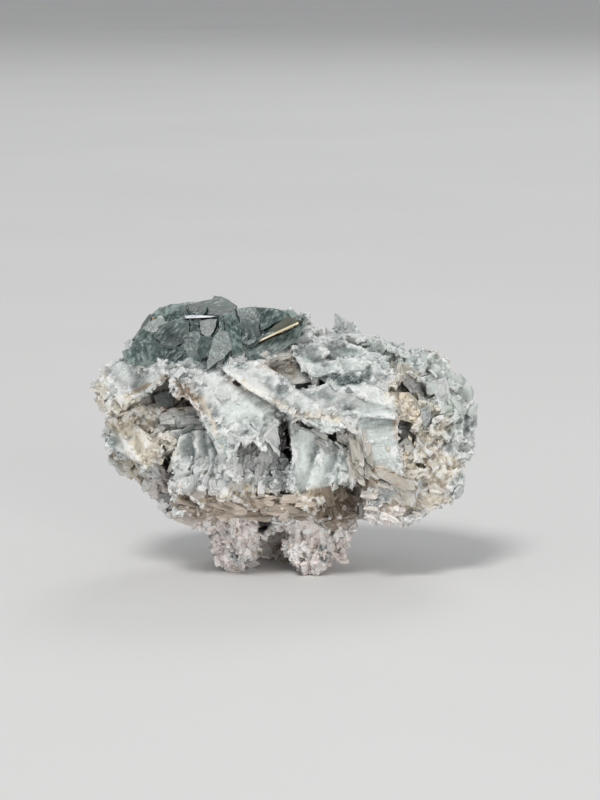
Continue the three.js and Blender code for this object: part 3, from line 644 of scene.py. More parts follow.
def crystals(spots, sizes, stretch, shapes, random):
    """One small crystal on each spot: points, triangles, and the crystal's number at each point."""
    growth = Growth()
    numbers = []
    turns = np.linalg.qr(random.normal(size=(len(spots), 3, 3)))[0]
    for number, (spot, size, turn) in enumerate(zip(spots, sizes, turns)):
        points, triangles = shapes[number % len(shapes)]
        if np.linalg.det(turn) < 0:
            turn = -turn
        scale = 0.5 * size * (1 + stretch * random.uniform(-1, 1, 3))
        growth.add((points * scale) @ turn.T + spot, triangles)
        numbers.append(np.full(len(points), number))
    points, triangles = growth.arrays()
    return points, triangles, np.concatenate(numbers)


def vertex_normals(points, triangles):
    a, b, c = (points[triangles[:, k]] for k in range(3))
    cross = np.cross(b - a, c - a)
    total = np.zeros_like(points)
    for k in range(3):
        np.add.at(total, triangles[:, k], cross)
    return unit(total)


def neighbour_mean(values, edges, count):
    """The mean of each point's neighbours."""
    total = np.zeros_like(values)
    np.add.at(total, edges[:, 0], values[edges[:, 1]])
    np.add.at(total, edges[:, 1], values[edges[:, 0]])
    return total / np.maximum(count, 1).reshape((-1,) + (1,) * (values.ndim - 1))


def edges_of(triangles):
    pairs = np.concatenate([triangles[:, [0, 1]], triangles[:, [1, 2]], triangles[:, [2, 0]]])
    return np.unique(np.sort(pairs, 1), axis=0)


def bulge(points, triangles, rounds):
    """How far each point stands out from its surroundings: plus on edges, minus in creases."""
    edges = edges_of(triangles)
    count = np.bincount(edges.ravel(), minlength=len(points))
    smooth = points
    for _ in range(rounds):
        smooth = neighbour_mean(smooth, edges, count)
    return ((points - smooth) * vertex_normals(points, triangles)).sum(1)


def lobes_rounded(points):
    """The two front lobes drawn in towards their worn flats."""
    rounded = points.copy()
    for middle, reach in LOBES:
        near = 1 - rising(np.abs(points[:, 0] - middle), reach, reach + 1.5)
        near *= 1 - rising(points[:, 2], 1, 7)
        near *= 1 - rising(points[:, 1], 0, 6)
        rounded[:, 0] += -LOBE_DRAW * near * (points[:, 0] - middle)
    return rounded


def planed(points, triangles, rounds):
    """The same surface with its large calm faces evened out and its edges kept."""
    edges = edges_of(triangles)
    count = np.bincount(edges.ravel(), minlength=len(points))
    share = calmness(points) * (1 - rising(np.abs(bulge(points, triangles, 5)), 0.12, 0.3))
    for _ in range(rounds):
        points = points + share[:, None] * (neighbour_mean(points, edges, count) - points)
    return points


def settled(points, solid):
    """The same points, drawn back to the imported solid's own faces where the surface is calm."""
    share = SETTLE_SHARE * calmness(points)
    drawn = points.copy()
    for i in np.flatnonzero(share > 0.05):
        drawn[i] += share[i] * (np.array(solid.find_nearest(points[i])[0]) - points[i])
    return drawn


def shelter(points, triangles, normals, random):
    """How far each point is shut in by the cluster itself: 0 in the open, 1 deep in a hole."""
    tree = BVHTree.FromPolygons(points.tolist(), triangles.tolist())
    around = unit(random.normal(size=(CAVITY_RAYS, 3)))
    shut = np.zeros(len(points))
    starts = points + 0.12 * normals
    for k in range(CAVITY_RAYS):
        ways = unit(normals * 1.02 + around[k])
        for i, (start, way) in enumerate(zip(starts.tolist(), ways.tolist())):
            distance = tree.ray_cast(start, way, CAVITY_REACH)[3]
            if distance is not None:
                shut[i] += 1 - 0.5 * distance / CAVITY_REACH
    return shut / CAVITY_RAYS


def grow_skin(node):
    """The fused skin of the cluster, in front-view millimetres."""
    random = np.random.default_rng(7)
    row_points, triangles = arrays_of(node.data)
    points, triangles = welded(in_front_view(row_points), triangles)
    points = lobes_rounded(points)
    middles = points[triangles].mean(1)
    solid = BVHTree.FromPolygons(points.tolist(), triangles.tolist())
    growth = Growth()
    growth.add(points, triangles)
    edge_shards(growth, points, triangles, EDGE_SHARDS, random)
    face_shards(growth, points, triangles, (1 - calmness(middles)) ** 3, FACE_SHARDS, random)
    rough = np.maximum(patch_mask(middles, PATCHES["cream"]), patch_mask(middles, PATCHES["pink_bounce"]))
    rough = np.maximum(rough * (middles[:, 1] < 0), 0.5 * (cloud(middles, 9, 21) > 0.62))
    rough = (rough + 0.02) * (1 - crispness(middles))
    spots, _, _ = spots_on(points, triangles, rough, FUSED_CRYSTALS, random)
    sizes = random.uniform(1.2, 2.6, len(spots))
    small, corners, _ = crystals(spots, sizes, 0.35, crystal_shapes(8, 10, random), random)
    growth.add(small, corners)
    skin = placed("crystal_skin", mesh_from("crystal_skin", *growth.arrays()))
    applied(skin, "REMESH", mode="VOXEL", voxel_size=SKIN_CELL, adaptivity=0.0)
    points, triangles = arrays_of(skin.data)
    points = planed(settled(points, solid), triangles, PLANING_ROUNDS)
    normals = vertex_normals(points, triangles)
    stands_out = bulge(points, triangles, 6)
    chip = rising(stands_out, 0.06, 0.25) * rising(cloud(points, 1.3, 31), 0.45, 0.8)
    sugar = np.maximum(patch_mask(points, PATCHES["cream"]), patch_mask(points, PATCHES["pink_bounce"]))
    move = -CHIP_DEPTH * chip
    calm = calmness(points)
    move += 0.4 * sugar * (cloud(points, 0.9, 32) - 0.5)
    move += FACET_RELIEF * (1 - 0.9 * calm) * facets(points, FACET_GRAIN, 61)[0]
    move += FINE_RELIEF * (1 - 0.85 * calm) * facets(points, FINE_GRAIN, 67)[0]
    move += CREST_RELIEF * in_crest(points) * facets(points, 4.5, 65)[0]
    for mask, way in STREAK_WAYS.items():
        lies = patch_mask(points, STREAKS[mask]) if mask in STREAKS else 0.5
        move += STREAK_RELIEF * calm * lies * (growth_lines(points, way, 0.7, 12) - 0.5)
    old = skin.data
    skin.data = mesh_from("crystal_skin", points + move[:, None] * normals, triangles)
    bpy.data.meshes.remove(old)
    share = SKIN_TRIANGLES / max(len(triangles), SKIN_TRIANGLES)
    return applied(skin, "DECIMATE", ratio=share)


def shade_by_fold(mesh, degrees):
    """Smooth faces that meet at a crisp edge where they fold by more than the given angle."""
    mesh.shade_smooth()
    mesh.set_sharp_from_angle(angle=math.radians(degrees))


def paint_masks(mesh, points, triangles):
    """Where each kind of surface lies, as values on the skin's points; points are in the front view."""
    random = np.random.default_rng(11)
    normals = vertex_normals(points, triangles)
    shut = shelter(points, triangles, normals, random)
    stands_out = bulge(points, triangles, 4)
    facing = 1 - hidden_side(points)
    masks = {name: patch_mask(points, PATCHES[name], BANDS.get(name, ())) * facing for name in PATCHES}
    masks["grey"] = patch_mask(points, GREY) * facing
    hidden = 1 - facing
    masks["teal_painted_dark"] = np.maximum(masks["teal_painted_dark"], hidden * in_crest(points))
    masks["green"] = np.maximum(masks["green"], hidden * rising(cloud(points, 12, 41), 0.45, 0.6))
    low = 1 - rising(points[:, 2], 38, 44)
    masks["cream"] = np.maximum(masks["cream"], hidden * low * rising(cloud(points, 10, 42), 0.64, 0.72))
    masks["pink_bounce"] = np.maximum(masks["pink_bounce"], hidden * (1 - rising(points[:, 2], 9, 16)))
    masks["brown_stain_and_shade"] = np.maximum(masks["brown_stain_and_shade"], hidden * rising(cloud(points, 9, 43), 0.7, 0.8))
    # shut and crease feed painted shade: sheltered hollows are browned and creases darkened in the colour
    masks["shut"] = shut
    masks["edge"] = rising(stands_out, 0.03, 0.15) * (1 - 0.7 * masks["teal_painted_dark"])
    masks["crease"] = rising(-stands_out, 0.04, 0.2)
    broken = 1 - calmness(points)
    facet_tone = 0.65 * facets(points, FACET_GRAIN, 61)[1] + 0.35 * facets(points, 0.9, 71)[1]
    masks["broken"] = broken
    masks["tone"] = 0.5 + (0.25 + 0.75 * broken) * (facet_tone - 0.5)
    lie = np.floor(3 * cloud(np.round(3 * normals) * 7.3, 1.0, 44) * 0.999)
    across = np.maximum(patch_mask(points, STREAKS["across"]) * facing, hidden * (lie == 0))
    upright = np.maximum(patch_mask(points, STREAKS["upright"]) * facing, hidden * (lie == 1))
    masks["across"] = across
    masks["upright"] = upright * (1 - across)
    for name, values in masks.items():
        set_mask(mesh, name, values)
    return masks


# Materials

def new_material(name):
    material = bpy.data.materials.new(name)
    material.use_nodes = True
    return material, material.node_tree, material.node_tree.nodes["Principled BSDF"]


def added(tree, kind, **inputs):
    """A new node; words with a capital set its sockets, the others its own settings."""
    made = tree.nodes.new(kind)
    for key, value in inputs.items():
        if key[0].isupper():
            made.inputs[key.replace("_", " ")].default_value = value
        else:
            setattr(made, key, value)
    return made


def joined(tree, start, end):
    tree.links.new(start, end)


def new_group(name, inputs, outputs):
    """A shader group with named sockets: each input has a kind and a first value."""
    group = bpy.data.node_groups.new(name, "ShaderNodeTree")
    for label, (kind, value) in inputs.items():
        socket = group.interface.new_socket(label, in_out="INPUT", socket_type=kind)
        socket.default_value = value
    for label, kind in outputs.items():
        group.interface.new_socket(label, in_out="OUTPUT", socket_type=kind)
    start = group.nodes.new("NodeGroupInput")
    end = group.nodes.new("NodeGroupOutput")
    return group, start, end


def use_group(tree, group, **inputs):
    made = tree.nodes.new("ShaderNodeGroup")
    made.node_tree = group
    for label, value in inputs.items():
        made.inputs[label.replace("_", " ")].default_value = value
    return made


def mixed(tree, share, first, second, blend="MIX"):
    """A colour mixed from two; each of the three may be a socket or a plain value."""
    mix = added(tree, "ShaderNodeMix", data_type="RGBA", blend_type=blend)
    for socket, value in ((mix.inputs[0], share), (mix.inputs[6], first), (mix.inputs[7], second)):
        if isinstance(value, bpy.types.NodeSocket):
            joined(tree, value, socket)
        else:
            socket.default_value = value
    return mix.outputs[2]


def reckoned(tree, how, first, second, clamp=False):
    """A number reckoned from two; each may be a socket or a plain value."""
    sum_of = added(tree, "ShaderNodeMath", operation=how, use_clamp=clamp)
    for socket, value in zip(sum_of.inputs, (first, second)):
        if isinstance(value, bpy.types.NodeSocket):
            joined(tree, value, socket)
        else:
            socket.default_value = value
    return sum_of.outputs[0]


def ranged(tree, value, low, high, to_low=0.0, to_high=1.0):
    span = added(tree, "ShaderNodeMapRange", From_Min=low, From_Max=high, To_Min=to_low, To_Max=to_high)
    joined(tree, value, span.inputs["Value"])
    return span.outputs["Result"]


def ramp(tree, value, *stops):
    """A colour looked up along a row of (place, colour) stops."""
    scale = added(tree, "ShaderNodeValToRGB")
    marks = scale.color_ramp.elements
    while len(marks) < len(stops):
        marks.new(0.5)
    for mark, (place, color) in zip(marks, stops):
        mark.position = place
        mark.color = color
    joined(tree, value, scale.inputs["Fac"])
    return scale.outputs["Color"]


def mask_of(tree, name):
    return added(tree, "ShaderNodeAttribute", attribute_name=name).outputs["Fac"]


def streak_group():
    """Fine parallel growth streaks: they run along the turned z axis."""
    group, start, end = new_group(
        "growth_streaks",
        {"Turn": ("NodeSocketVector", (0, 0, 0))},
        {"Streak": "NodeSocketFloat"},
    )
    place = added(group, "ShaderNodeTexCoord")
    turn = added(group, "ShaderNodeMapping", vector_type="TEXTURE", Scale=(0.00055, 0.00055, 0.011))
    joined(group, place.outputs["Object"], turn.inputs["Vector"])
    joined(group, start.outputs["Turn"], turn.inputs["Rotation"])
    lines = added(group, "ShaderNodeTexNoise", Scale=1.0, Detail=3.0, Roughness=0.6)
    joined(group, turn.outputs["Vector"], lines.inputs["Vector"])
    joined(group, ranged(group, lines.outputs["Fac"], 0.3, 0.7), end.inputs["Streak"])
    return group


def sugar_group():
    """Sugary grain: small bright points and a fine rough height."""
    group, start, end = new_group(
        "sugar_grain",
        {"Grain": ("NodeSocketFloat", 1800.0)},
        {"Sparkle": "NodeSocketFloat", "Height": "NodeSocketFloat"},
    )
    place = added(group, "ShaderNodeTexCoord")
    cells = added(group, "ShaderNodeTexVoronoi", feature="F1", Randomness=1.0)
    joined(group, place.outputs["Object"], cells.inputs["Vector"])
    joined(group, start.outputs["Grain"], cells.inputs["Scale"])
    tone = added(group, "ShaderNodeSeparateColor")
    joined(group, cells.outputs["Color"], tone.inputs["Color"])
    joined(group, tone.outputs["Red"], end.inputs["Sparkle"])
    joined(group, cells.outputs["Distance"], end.inputs["Height"])
    return group


def cleavage_group():
    """Broken panes inside clear crystal: a tone for each pane and bright lines where panes meet."""
    group, start, end = new_group(
        "cleavage_panes",
        {"Pane": ("NodeSocketFloat", 300.0), "Line": ("NodeSocketFloat", 0.06)},
        {"Tone": "NodeSocketFloat", "Vein": "NodeSocketFloat"},
    )
    place = added(group, "ShaderNodeTexCoord")
    lie = added(group, "ShaderNodeMapping", vector_type="TEXTURE", Scale=(1, 1, 1.8))
    lie.inputs["Rotation"].default_value = (0.3, 0.5, 0.2)
    joined(group, place.outputs["Object"], lie.inputs["Vector"])
    bend = added(group, "ShaderNodeTexNoise", Scale=260.0, Detail=3.0)
    joined(group, lie.outputs["Vector"], bend.inputs["Vector"])
    sway = added(group, "ShaderNodeVectorMath", operation="MULTIPLY_ADD")
    joined(group, bend.outputs["Color"], sway.inputs[0])
    sway.inputs[1].default_value = (0.0035, 0.0035, 0.0035)
    joined(group, lie.outputs["Vector"], sway.inputs[2])
    panes = added(group, "ShaderNodeTexVoronoi", feature="F1")
    borders = added(group, "ShaderNodeTexVoronoi", feature="DISTANCE_TO_EDGE")
    for cells in (panes, borders):
        joined(group, sway.outputs["Vector"], cells.inputs["Vector"])
        joined(group, start.outputs["Pane"], cells.inputs["Scale"])
    tone = added(group, "ShaderNodeSeparateColor")
    joined(group, panes.outputs["Color"], tone.inputs["Color"])
    joined(group, tone.outputs["Green"], end.inputs["Tone"])
    line = added(group, "ShaderNodeMapRange", interpolation_type="SMOOTHSTEP", To_Min=1.0, To_Max=0.0)
    joined(group, borders.outputs["Distance"], line.inputs["Value"])
    joined(group, start.outputs["Line"], line.inputs["From Max"])
    joined(group, line.outputs["Result"], end.inputs["Vein"])
    return group


def facet_group():
    """Tiny flat facets, each tilted its own way, as a height."""
    group, start, end = new_group(
        "tiny_facets",
        {"Grain": ("NodeSocketFloat", 1200.0)},
        {"Height": "NodeSocketFloat"},
    )
    place = added(group, "ShaderNodeTexCoord")
    cells = added(group, "ShaderNodeTexVoronoi", feature="F1")
    joined(group, place.outputs["Object"], cells.inputs["Vector"])
    joined(group, start.outputs["Grain"], cells.inputs["Scale"])
    away = added(group, "ShaderNodeVectorMath", operation="SUBTRACT")
    joined(group, place.outputs["Object"], away.inputs[0])
    joined(group, cells.outputs["Position"], away.inputs[1])
    tilt = added(group, "ShaderNodeVectorMath", operation="SUBTRACT")
    joined(group, cells.outputs["Color"], tilt.inputs[0])
    tilt.inputs[1].default_value = (0.5, 0.5, 0.5)
    lean = added(group, "ShaderNodeVectorMath", operation="DOT_PRODUCT")
    joined(group, away.outputs["Vector"], lean.inputs[0])
    joined(group, tilt.outputs["Vector"], lean.inputs[1])
    height = reckoned(group, "MULTIPLY", lean.outputs["Value"], start.outputs["Grain"])
    joined(group, height, end.inputs["Height"])
    return group


def frost_and_shade_group():
    """Colour with frost and painted shade: frosted pale on edges, darkened in creases and browned in
    sheltered places, both as painted shade.
    """
    group, start, end = new_group(
        "frost_and_shade",
        {
            "Color": ("NodeSocketColor", (1, 1, 1, 1)), "Edge": ("NodeSocketFloat", 0.0),
            "Crease": ("NodeSocketFloat", 0.0), "Shut": ("NodeSocketFloat", 0.0),
            "Frost": ("NodeSocketColor", (0.87, 0.89, 0.88, 1)),
            "Hollow_Shade": ("NodeSocketColor", (0.48, 0.42, 0.34, 1)),
        },
        {"Color": "NodeSocketColor"},
    )
    place = added(group, "ShaderNodeTexCoord")
    blotch = added(group, "ShaderNodeTexNoise", Scale=420.0, Detail=4.0, Roughness=0.65)
    joined(group, place.outputs["Object"], blotch.inputs["Vector"])
    patchy = ranged(group, blotch.outputs["Fac"], 0.3, 0.55)
    frosted = reckoned(group, "MULTIPLY", start.outputs["Edge"], patchy)
    pale = mixed(group, frosted, start.outputs["Color"], start.outputs["Frost"])
    # Sheltered places are browned towards the hollow shade colour: painted shade
    spread = ranged(group, blotch.outputs["Fac"], 0.3, 0.7, -0.14, 0.14)
    deep = reckoned(group, "ADD", start.outputs["Shut"], spread)
    hollow_shaded = mixed(group, ranged(group, deep, 0.45, 0.95, 0.0, 0.4), pale, start.outputs["Hollow_Shade"])
    # Creases are darkened: painted shade
    dim = ranged(group, start.outputs["Crease"], 0.0, 1.0, 1.0, 0.6)
    shade = added(group, "ShaderNodeCombineColor")
    for channel in ("Red", "Green", "Blue"):
        joined(group, dim, shade.inputs[channel])
    joined(group, mixed(group, 1.0, hollow_shaded, shade.outputs["Color"], "MULTIPLY"), end.inputs["Color"])
    return group


def lying_streaks(tree, streaks):
    """Growth streaks that lie slanting, level or upright, as the skin's masks say."""
    slant = use_group(tree, streaks, Turn=(0.1, 0.75, 0.0)).outputs["Streak"]
    level = use_group(tree, streaks, Turn=(0.0, 1.5, 0.1)).outputs["Streak"]
    upright = use_group(tree, streaks, Turn=(0.15, -0.12, 0.0)).outputs["Streak"]
    for mask, lines in (("across", level), ("upright", upright)):
        choice = added(tree, "ShaderNodeMix", data_type="FLOAT")
        joined(tree, mask_of(tree, mask), choice.inputs[0])
        joined(tree, slant, choice.inputs[2])
        joined(tree, lines, choice.inputs[3])
        slant = choice.outputs[0]
    return slant


def weighed(tree, *shares):
    """The sum of values, each times its share."""
    total = None
    for value, share in shares:
        part = reckoned(tree, "MULTIPLY", value, share)
        total = part if total is None else reckoned(tree, "ADD", total, part)
    return total


def blade_material(streaks, sugar, cleavage, tiny, frost_and_shade):
    """The skin: milky and pale green blades, a glassy crest kept dark as a painted dark reflection, brown
    stain, painted shade in hollows, creases and holes, and crust pink with painted warm light from below.
    """
    material, tree, shader = new_material("bladed_crystal")
    place = added(tree, "ShaderNodeTexCoord")
    soft = added(tree, "ShaderNodeTexNoise", Scale=170.0, Detail=6.0, Roughness=0.65)
    joined(tree, place.outputs["Object"], soft.inputs["Vector"])
    drift = ranged(tree, soft.outputs["Fac"], 0.32, 0.68)
    streak = lying_streaks(tree, streaks)
    tone = mask_of(tree, "tone")
    grain = use_group(tree, sugar, Grain=1700.0)
    panes = use_group(tree, cleavage, Pane=420.0, Line=0.05)

    clearer = reckoned(tree, "MULTIPLY", mask_of(tree, "grey"), 2.8)
    clouded = reckoned(tree, "SUBTRACT", mask_of(tree, "frost"), clearer)
    speck = use_group(tree, sugar, Grain=2600.0).outputs["Sparkle"]
    white = weighed(tree, (tone, 0.34), (drift, 0.32), (streak, 0.22), (speck, 0.16), (clouded, 0.16))
    color = ramp(tree, white, *MILK)
    color = mixed(tree, mask_of(tree, "green"), color, mixed(tree, 1.0, color, GREEN_TINT, "MULTIPLY"))
    mixture = weighed(tree, (tone, 0.4), (grain.outputs["Sparkle"], 0.3), (drift, 0.35))
    # rose: pink crust, pink and bright as painted warm light from below
    bare_pink_bounce = reckoned(tree, "SUBTRACT", mask_of(tree, "pink_bounce"), mask_of(tree, "grey"), clamp=True)
    color = mixed(tree, reckoned(tree, "MULTIPLY", bare_pink_bounce, 0.85), color, ramp(tree, mixture, *ROSE_BOUNCE))
    earthy = weighed(tree, (tone, 0.3), (streak, 0.4), (drift, 0.3))
    # brown: brown stain; in the cave, left pocket and underside also painted shade
    stain_and_shade = reckoned(tree, "MULTIPLY", mask_of(tree, "brown_stain_and_shade"), 0.85)
    color = mixed(tree, stain_and_shade, color, ramp(tree, earthy, *UMBER_STAIN_AND_SHADE))
    crumbs = reckoned(tree, "MULTIPLY", mask_of(tree, "cream"), ranged(tree, drift, 0.1, 0.5, 0.35, 1.0))
    color = mixed(tree, crumbs, color, ramp(tree, mixture, *CREAM))
    inner = ((panes.outputs["Tone"], 0.35), (streak, 0.25), (drift, 0.2), (panes.outputs["Vein"], 0.45))
    depth = weighed(tree, *inner)
    # teal: the crest's glass, kept dark as a painted dark reflection
    color = mixed(tree, mask_of(tree, "teal_painted_dark"), color, ramp(tree, depth, *GLASS_PAINTED_DARK))
    frosted_and_shaded = use_group(tree, frost_and_shade)
    joined(tree, color, frosted_and_shaded.inputs["Color"])
    # edge frosts the colour; crease and shut darken and brown it as painted shade
    for label, share in (("edge", 0.85), ("crease", 1.0), ("shut", 1.0)):
        joined(tree, reckoned(tree, "MULTIPLY", mask_of(tree, label), share), frosted_and_shaded.inputs[label.capitalize()])
    # dark mixes in near black: painted shade in holes and the cave
    joined(tree, mixed(tree, mask_of(tree, "dark"), frosted_and_shaded.outputs["Color"], HOLE_SHADE), shader.inputs["Base Color"])

    crusty = reckoned(tree, "MAXIMUM", mask_of(tree, "cream"), mask_of(tree, "pink_bounce"))
    gloss = weighed(tree, (drift, 0.22), (crusty, 0.3), (mask_of(tree, "teal_painted_dark"), -0.12))
    joined(tree, reckoned(tree, "ADD", gloss, 0.2, clamp=True), shader.inputs["Roughness"])
    fine = added(tree, "ShaderNodeTexNoise", Scale=1500.0, Detail=4.0)
    joined(tree, place.outputs["Object"], fine.inputs["Vector"])
    small = use_group(tree, tiny, Grain=1100.0).outputs["Height"]
    grit = reckoned(tree, "MULTIPLY", grain.outputs["Height"], crusty)
    rough_part = ranged(tree, mask_of(tree, "broken"), 0.0, 1.0, 0.2, 1.0)
    small = reckoned(tree, "MULTIPLY", small, rough_part)
    sugary = use_group(tree, tiny, Grain=2900.0).outputs["Height"]
    heights = ((streak, 0.4), (fine.outputs["Fac"], 0.2), (small, 0.9), (sugary, 0.3), (grit, 0.6))
    relief = weighed(tree, *heights)
    bump = added(tree, "ShaderNodeBump", Strength=0.7, Distance=0.0005)
    joined(tree, relief, bump.inputs["Height"])
    joined(tree, bump.outputs["Normal"], shader.inputs["Normal"])
    shader.inputs["Subsurface Weight"].default_value = 0.25
    shader.inputs["Subsurface Radius"].default_value = (1.0, 1.1, 1.05)
    shader.inputs["Subsurface Scale"].default_value = 0.0015
    shader.inputs["IOR"].default_value = 1.58
    return material


def crust_material(name, frost_and_shade, light, dark, rough):
    """Small crystals of a crust: each has a tone of its own."""
    material, tree, shader = new_material(name)
    color = mixed(tree, mask_of(tree, "tone"), dark, light)
    frosted_and_shaded = use_group(tree, frost_and_shade)
    joined(tree, color, frosted_and_shaded.inputs["Color"])
    # shut browns grains in sheltered places: painted shade
    joined(tree, mask_of(tree, "shut"), frosted_and_shaded.inputs["Shut"])
    joined(tree, frosted_and_shaded.outputs["Color"], shader.inputs["Base Color"])
    shader.inputs["Roughness"].default_value = rough
    shader.inputs["Subsurface Weight"].default_value = 0.2
    shader.inputs["Subsurface Radius"].default_value = (1.0, 1.0, 1.0)
    shader.inputs["Subsurface Scale"].default_value = 0.0010
    return material


def clear_material(name, color, through, absorption, density, rough):
    """See-through crystal with a faint milky tint of its own."""
    material, tree, shader = new_material(name)
    place = added(tree, "ShaderNodeTexCoord")
    wave = added(tree, "ShaderNodeTexNoise", Scale=700.0, Detail=3.0)
    joined(tree, place.outputs["Object"], wave.inputs["Vector"])
    cloudy = mixed(tree, wave.outputs["Fac"], color, (0.86, 0.90, 0.88, 1))
    joined(tree, cloudy, shader.inputs["Base Color"])
    shader.inputs["Roughness"].default_value = rough
    shader.inputs["Transmission Weight"].default_value = through
    shader.inputs["IOR"].default_value = 1.53
    inside = added(tree, "ShaderNodeVolumeAbsorption", Color=absorption, Density=density)
    joined(tree, inside.outputs["Volume"], tree.nodes["Material Output"].inputs["Volume"])
    bump = added(tree, "ShaderNodeBump", Strength=0.1, Distance=0.00012)
    joined(tree, wave.outputs["Fac"], bump.inputs["Height"])
    joined(tree, bump.outputs["Normal"], shader.inputs["Normal"])
    return material


def crest_material(streaks):
    """Glassy plates of the crest: grey-green kept dark as a painted dark reflection, with silky veils, pale
    along streaks and broken rims.
    """
    material, tree, shader = new_material("crest_glass")
    place = added(tree, "ShaderNodeTexCoord")
    veil = added(tree, "ShaderNodeTexNoise", Scale=190.0, Detail=2.5, Roughness=0.55, Distortion=1.2)
    joined(tree, place.outputs["Object"], veil.inputs["Vector"])
    drift = ranged(tree, veil.outputs["Fac"], 0.34, 0.66)
    streak = lying_streaks(tree, streaks)
    depth = weighed(tree, (mask_of(tree, "tone"), 0.55), (drift, 0.34), (streak, 0.46))
    frayed = added(tree, "ShaderNodeTexNoise", Scale=900.0, Detail=3.0)
    joined(tree, place.outputs["Object"], frayed.inputs["Vector"])
    rim = reckoned(tree, "MULTIPLY", mask_of(tree, "edge"), ranged(tree, frayed.outputs["Fac"], 0.3, 0.5))
    pale = reckoned(tree, "MAXIMUM", rim, ranged(tree, streak, 0.62, 1.0, 0.0, 0.65))
    color = mixed(tree, pale, ramp(tree, depth, *GLASS_PAINTED_DARK), PALE_RIM)
    joined(tree, color, shader.inputs["Base Color"])
    gloss = weighed(tree, (drift, 0.12), (streak, 0.1), (rim, 0.3))
    joined(tree, reckoned(tree, "ADD", gloss, 0.2), shader.inputs["Roughness"])
    shader.inputs["Transmission Weight"].default_value = 0.5
    shader.inputs["IOR"].default_value = 1.53
    relief = weighed(tree, (streak, 0.6), (veil.outputs["Fac"], 0.5))
    bump = added(tree, "ShaderNodeBump", Strength=0.16, Distance=0.0002)
    joined(tree, relief, bump.inputs["Height"])
    joined(tree, bump.outputs["Normal"], shader.inputs["Normal"])
    return material


def lit_material(name, streaks, color, light, rough, metallic):
    """A glossy face with fine streaks, or a lit edge: painted dark reflection, painted highlights, and brassy
    metal.
    """
    material, tree, shader = new_material(name)
    lines = use_group(tree, streaks, Turn=(0.0, 1.1, 0.0)).outputs["Streak"]
    joined(tree, mixed(tree, lines, color, light), shader.inputs["Base Color"])
    shader.inputs["Roughness"].default_value = rough
    shader.inputs["Metallic"].default_value = metallic
    return material


def floor_material():
    material, tree, shader = new_material("pale_floor")
    place = added(tree, "ShaderNodeTexCoord")
    soft = added(tree, "ShaderNodeTexNoise", Scale=6.0, Detail=3.0)
    joined(tree, place.outputs["Object"], soft.inputs["Vector"])
    color = mixed(tree, soft.outputs["Fac"], (0.74, 0.74, 0.74, 1), (0.80, 0.80, 0.80, 1))
    joined(tree, color, shader.inputs["Base Color"])
    shader.inputs["Roughness"].default_value = 0.8
    return material


# Crusts, blades and plates on the skin

def carried(piece, material):
    """A finished piece of the cluster: its material, and the body it rides on."""
    piece.data.materials.append(material)
    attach(piece, "root")
    return piece


def crust(name, surface, weights, count, sizes, random, material):
    """Small crystals sunk a little into the skin wherever the weights are high."""
    points, triangles, shut = surface
    spots, out, picked = spots_on(points, triangles, weights[triangles].mean(1), count, random)
    size = sizes[0] + (sizes[1] - sizes[0]) * random.random(count) ** 2.2
    spots = spots + (0.12 * size)[:, None] * out
    grains, corners, number = crystals(spots, size, 0.55, crystal_shapes(18, 7, random), random)
    row = in_row(grains)
    row[:, 2] = np.maximum(row[:, 2], 0)
    mesh = mesh_from(name, row, corners)
    set_mask(mesh, "tone", random.random(count)[number])
    set_mask(mesh, "shut", shut[triangles[picked]].mean(1)[number])
    return carried(placed(name, mesh), material)


def front_depth(tree, x, z):
    """How far away the skin is at a place of the front view, or None past its outline."""
    return tree.ray_cast((x, VIEWER_DEPTH, z), (0.0, 1.0, 0.0))[0]


def resting_plane(tree, outline):
    """The plane y = a + b x + c z that lies along the skin inside an outline of the front view."""
    outline = np.asarray(outline, float)
    middle = outline.mean(0)
    tried = np.concatenate([middle + share * (outline - middle) for share in (0.25, 0.55, 0.85)])
    hits = [front_depth(tree, x, z) for x, z in tried]
    found = np.array([hit[:] for hit in hits if hit is not None])
    near = found[found[:, 1] < np.median(found[:, 1]) + 3.0]
    sides = np.stack([np.ones(len(near)), near[:, 0], near[:, 2]], 1)
    slopes = np.clip(np.linalg.lstsq(sides, near[:, 1], rcond=None)[0][1:], -STEEPEST, STEEPEST)
    start = np.percentile(near[:, 1] - near[:, [0, 2]] @ slopes, 40)
    return np.array([start, *slopes])


def pane(growth, plane, outline, lift, thick, bevel):
    """A flat crystal plate along a plane: its face stands proud by lift, its broken rim slants back."""
    outline = np.asarray(outline, float)
    a, b, c = plane
    middle = outline.mean(0)
    rings = []
    for share, depth in ((0.5, -lift), (1 - bevel, -lift), (1.0, -lift + CHAMFER), (0.94, -lift + thick)):
        x, z = (middle + share * (outline - middle)).T
        rings.append(np.stack([x, a + b * x + c * z + depth, z], 1))
    n = len(outline)
    ring = np.arange(n)
    after = (ring + 1) % n
    fan = np.stack([np.zeros(n - 2, int), np.arange(1, n - 1), np.arange(2, n)], 1)
    triangles = [fan, fan[:, ::-1] + 3 * n]
    for k in (0, n, 2 * n):
        triangles.append(np.stack([ring + k, ring + k + n, after + k], 1))
        triangles.append(np.stack([after + k, ring + k + n, after + k + n], 1))
    triangles = np.concatenate(triangles)
    points = np.concatenate(rings)
    corners = points[triangles]
    signed = np.einsum("ij,ij->", corners[:, 0], np.cross(corners[:, 1], corners[:, 2]))
    if signed < 0:
        triangles = triangles[:, ::-1]
    growth.add(points, triangles)


def ragged(outline, amount, random):
    """The outline with each straight side broken into three uneven ones."""
    corners = np.asarray(outline, float)
    after = np.roll(corners, -1, axis=0)
    broken = []
    for start, end in zip(corners, after):
        broken.append(start)
        for share in (0.33, 0.67):
            along = start + (share + random.uniform(-0.1, 0.1)) * (end - start)
            broken.append(along + random.normal(scale=amount, size=2))
    return np.array(broken)


def spun(outline, turn):
    """An outline of the front view turned about its origin."""
    spin = np.array([[math.cos(turn), -math.sin(turn)], [math.sin(turn), math.cos(turn)]])
    return outline @ spin.T


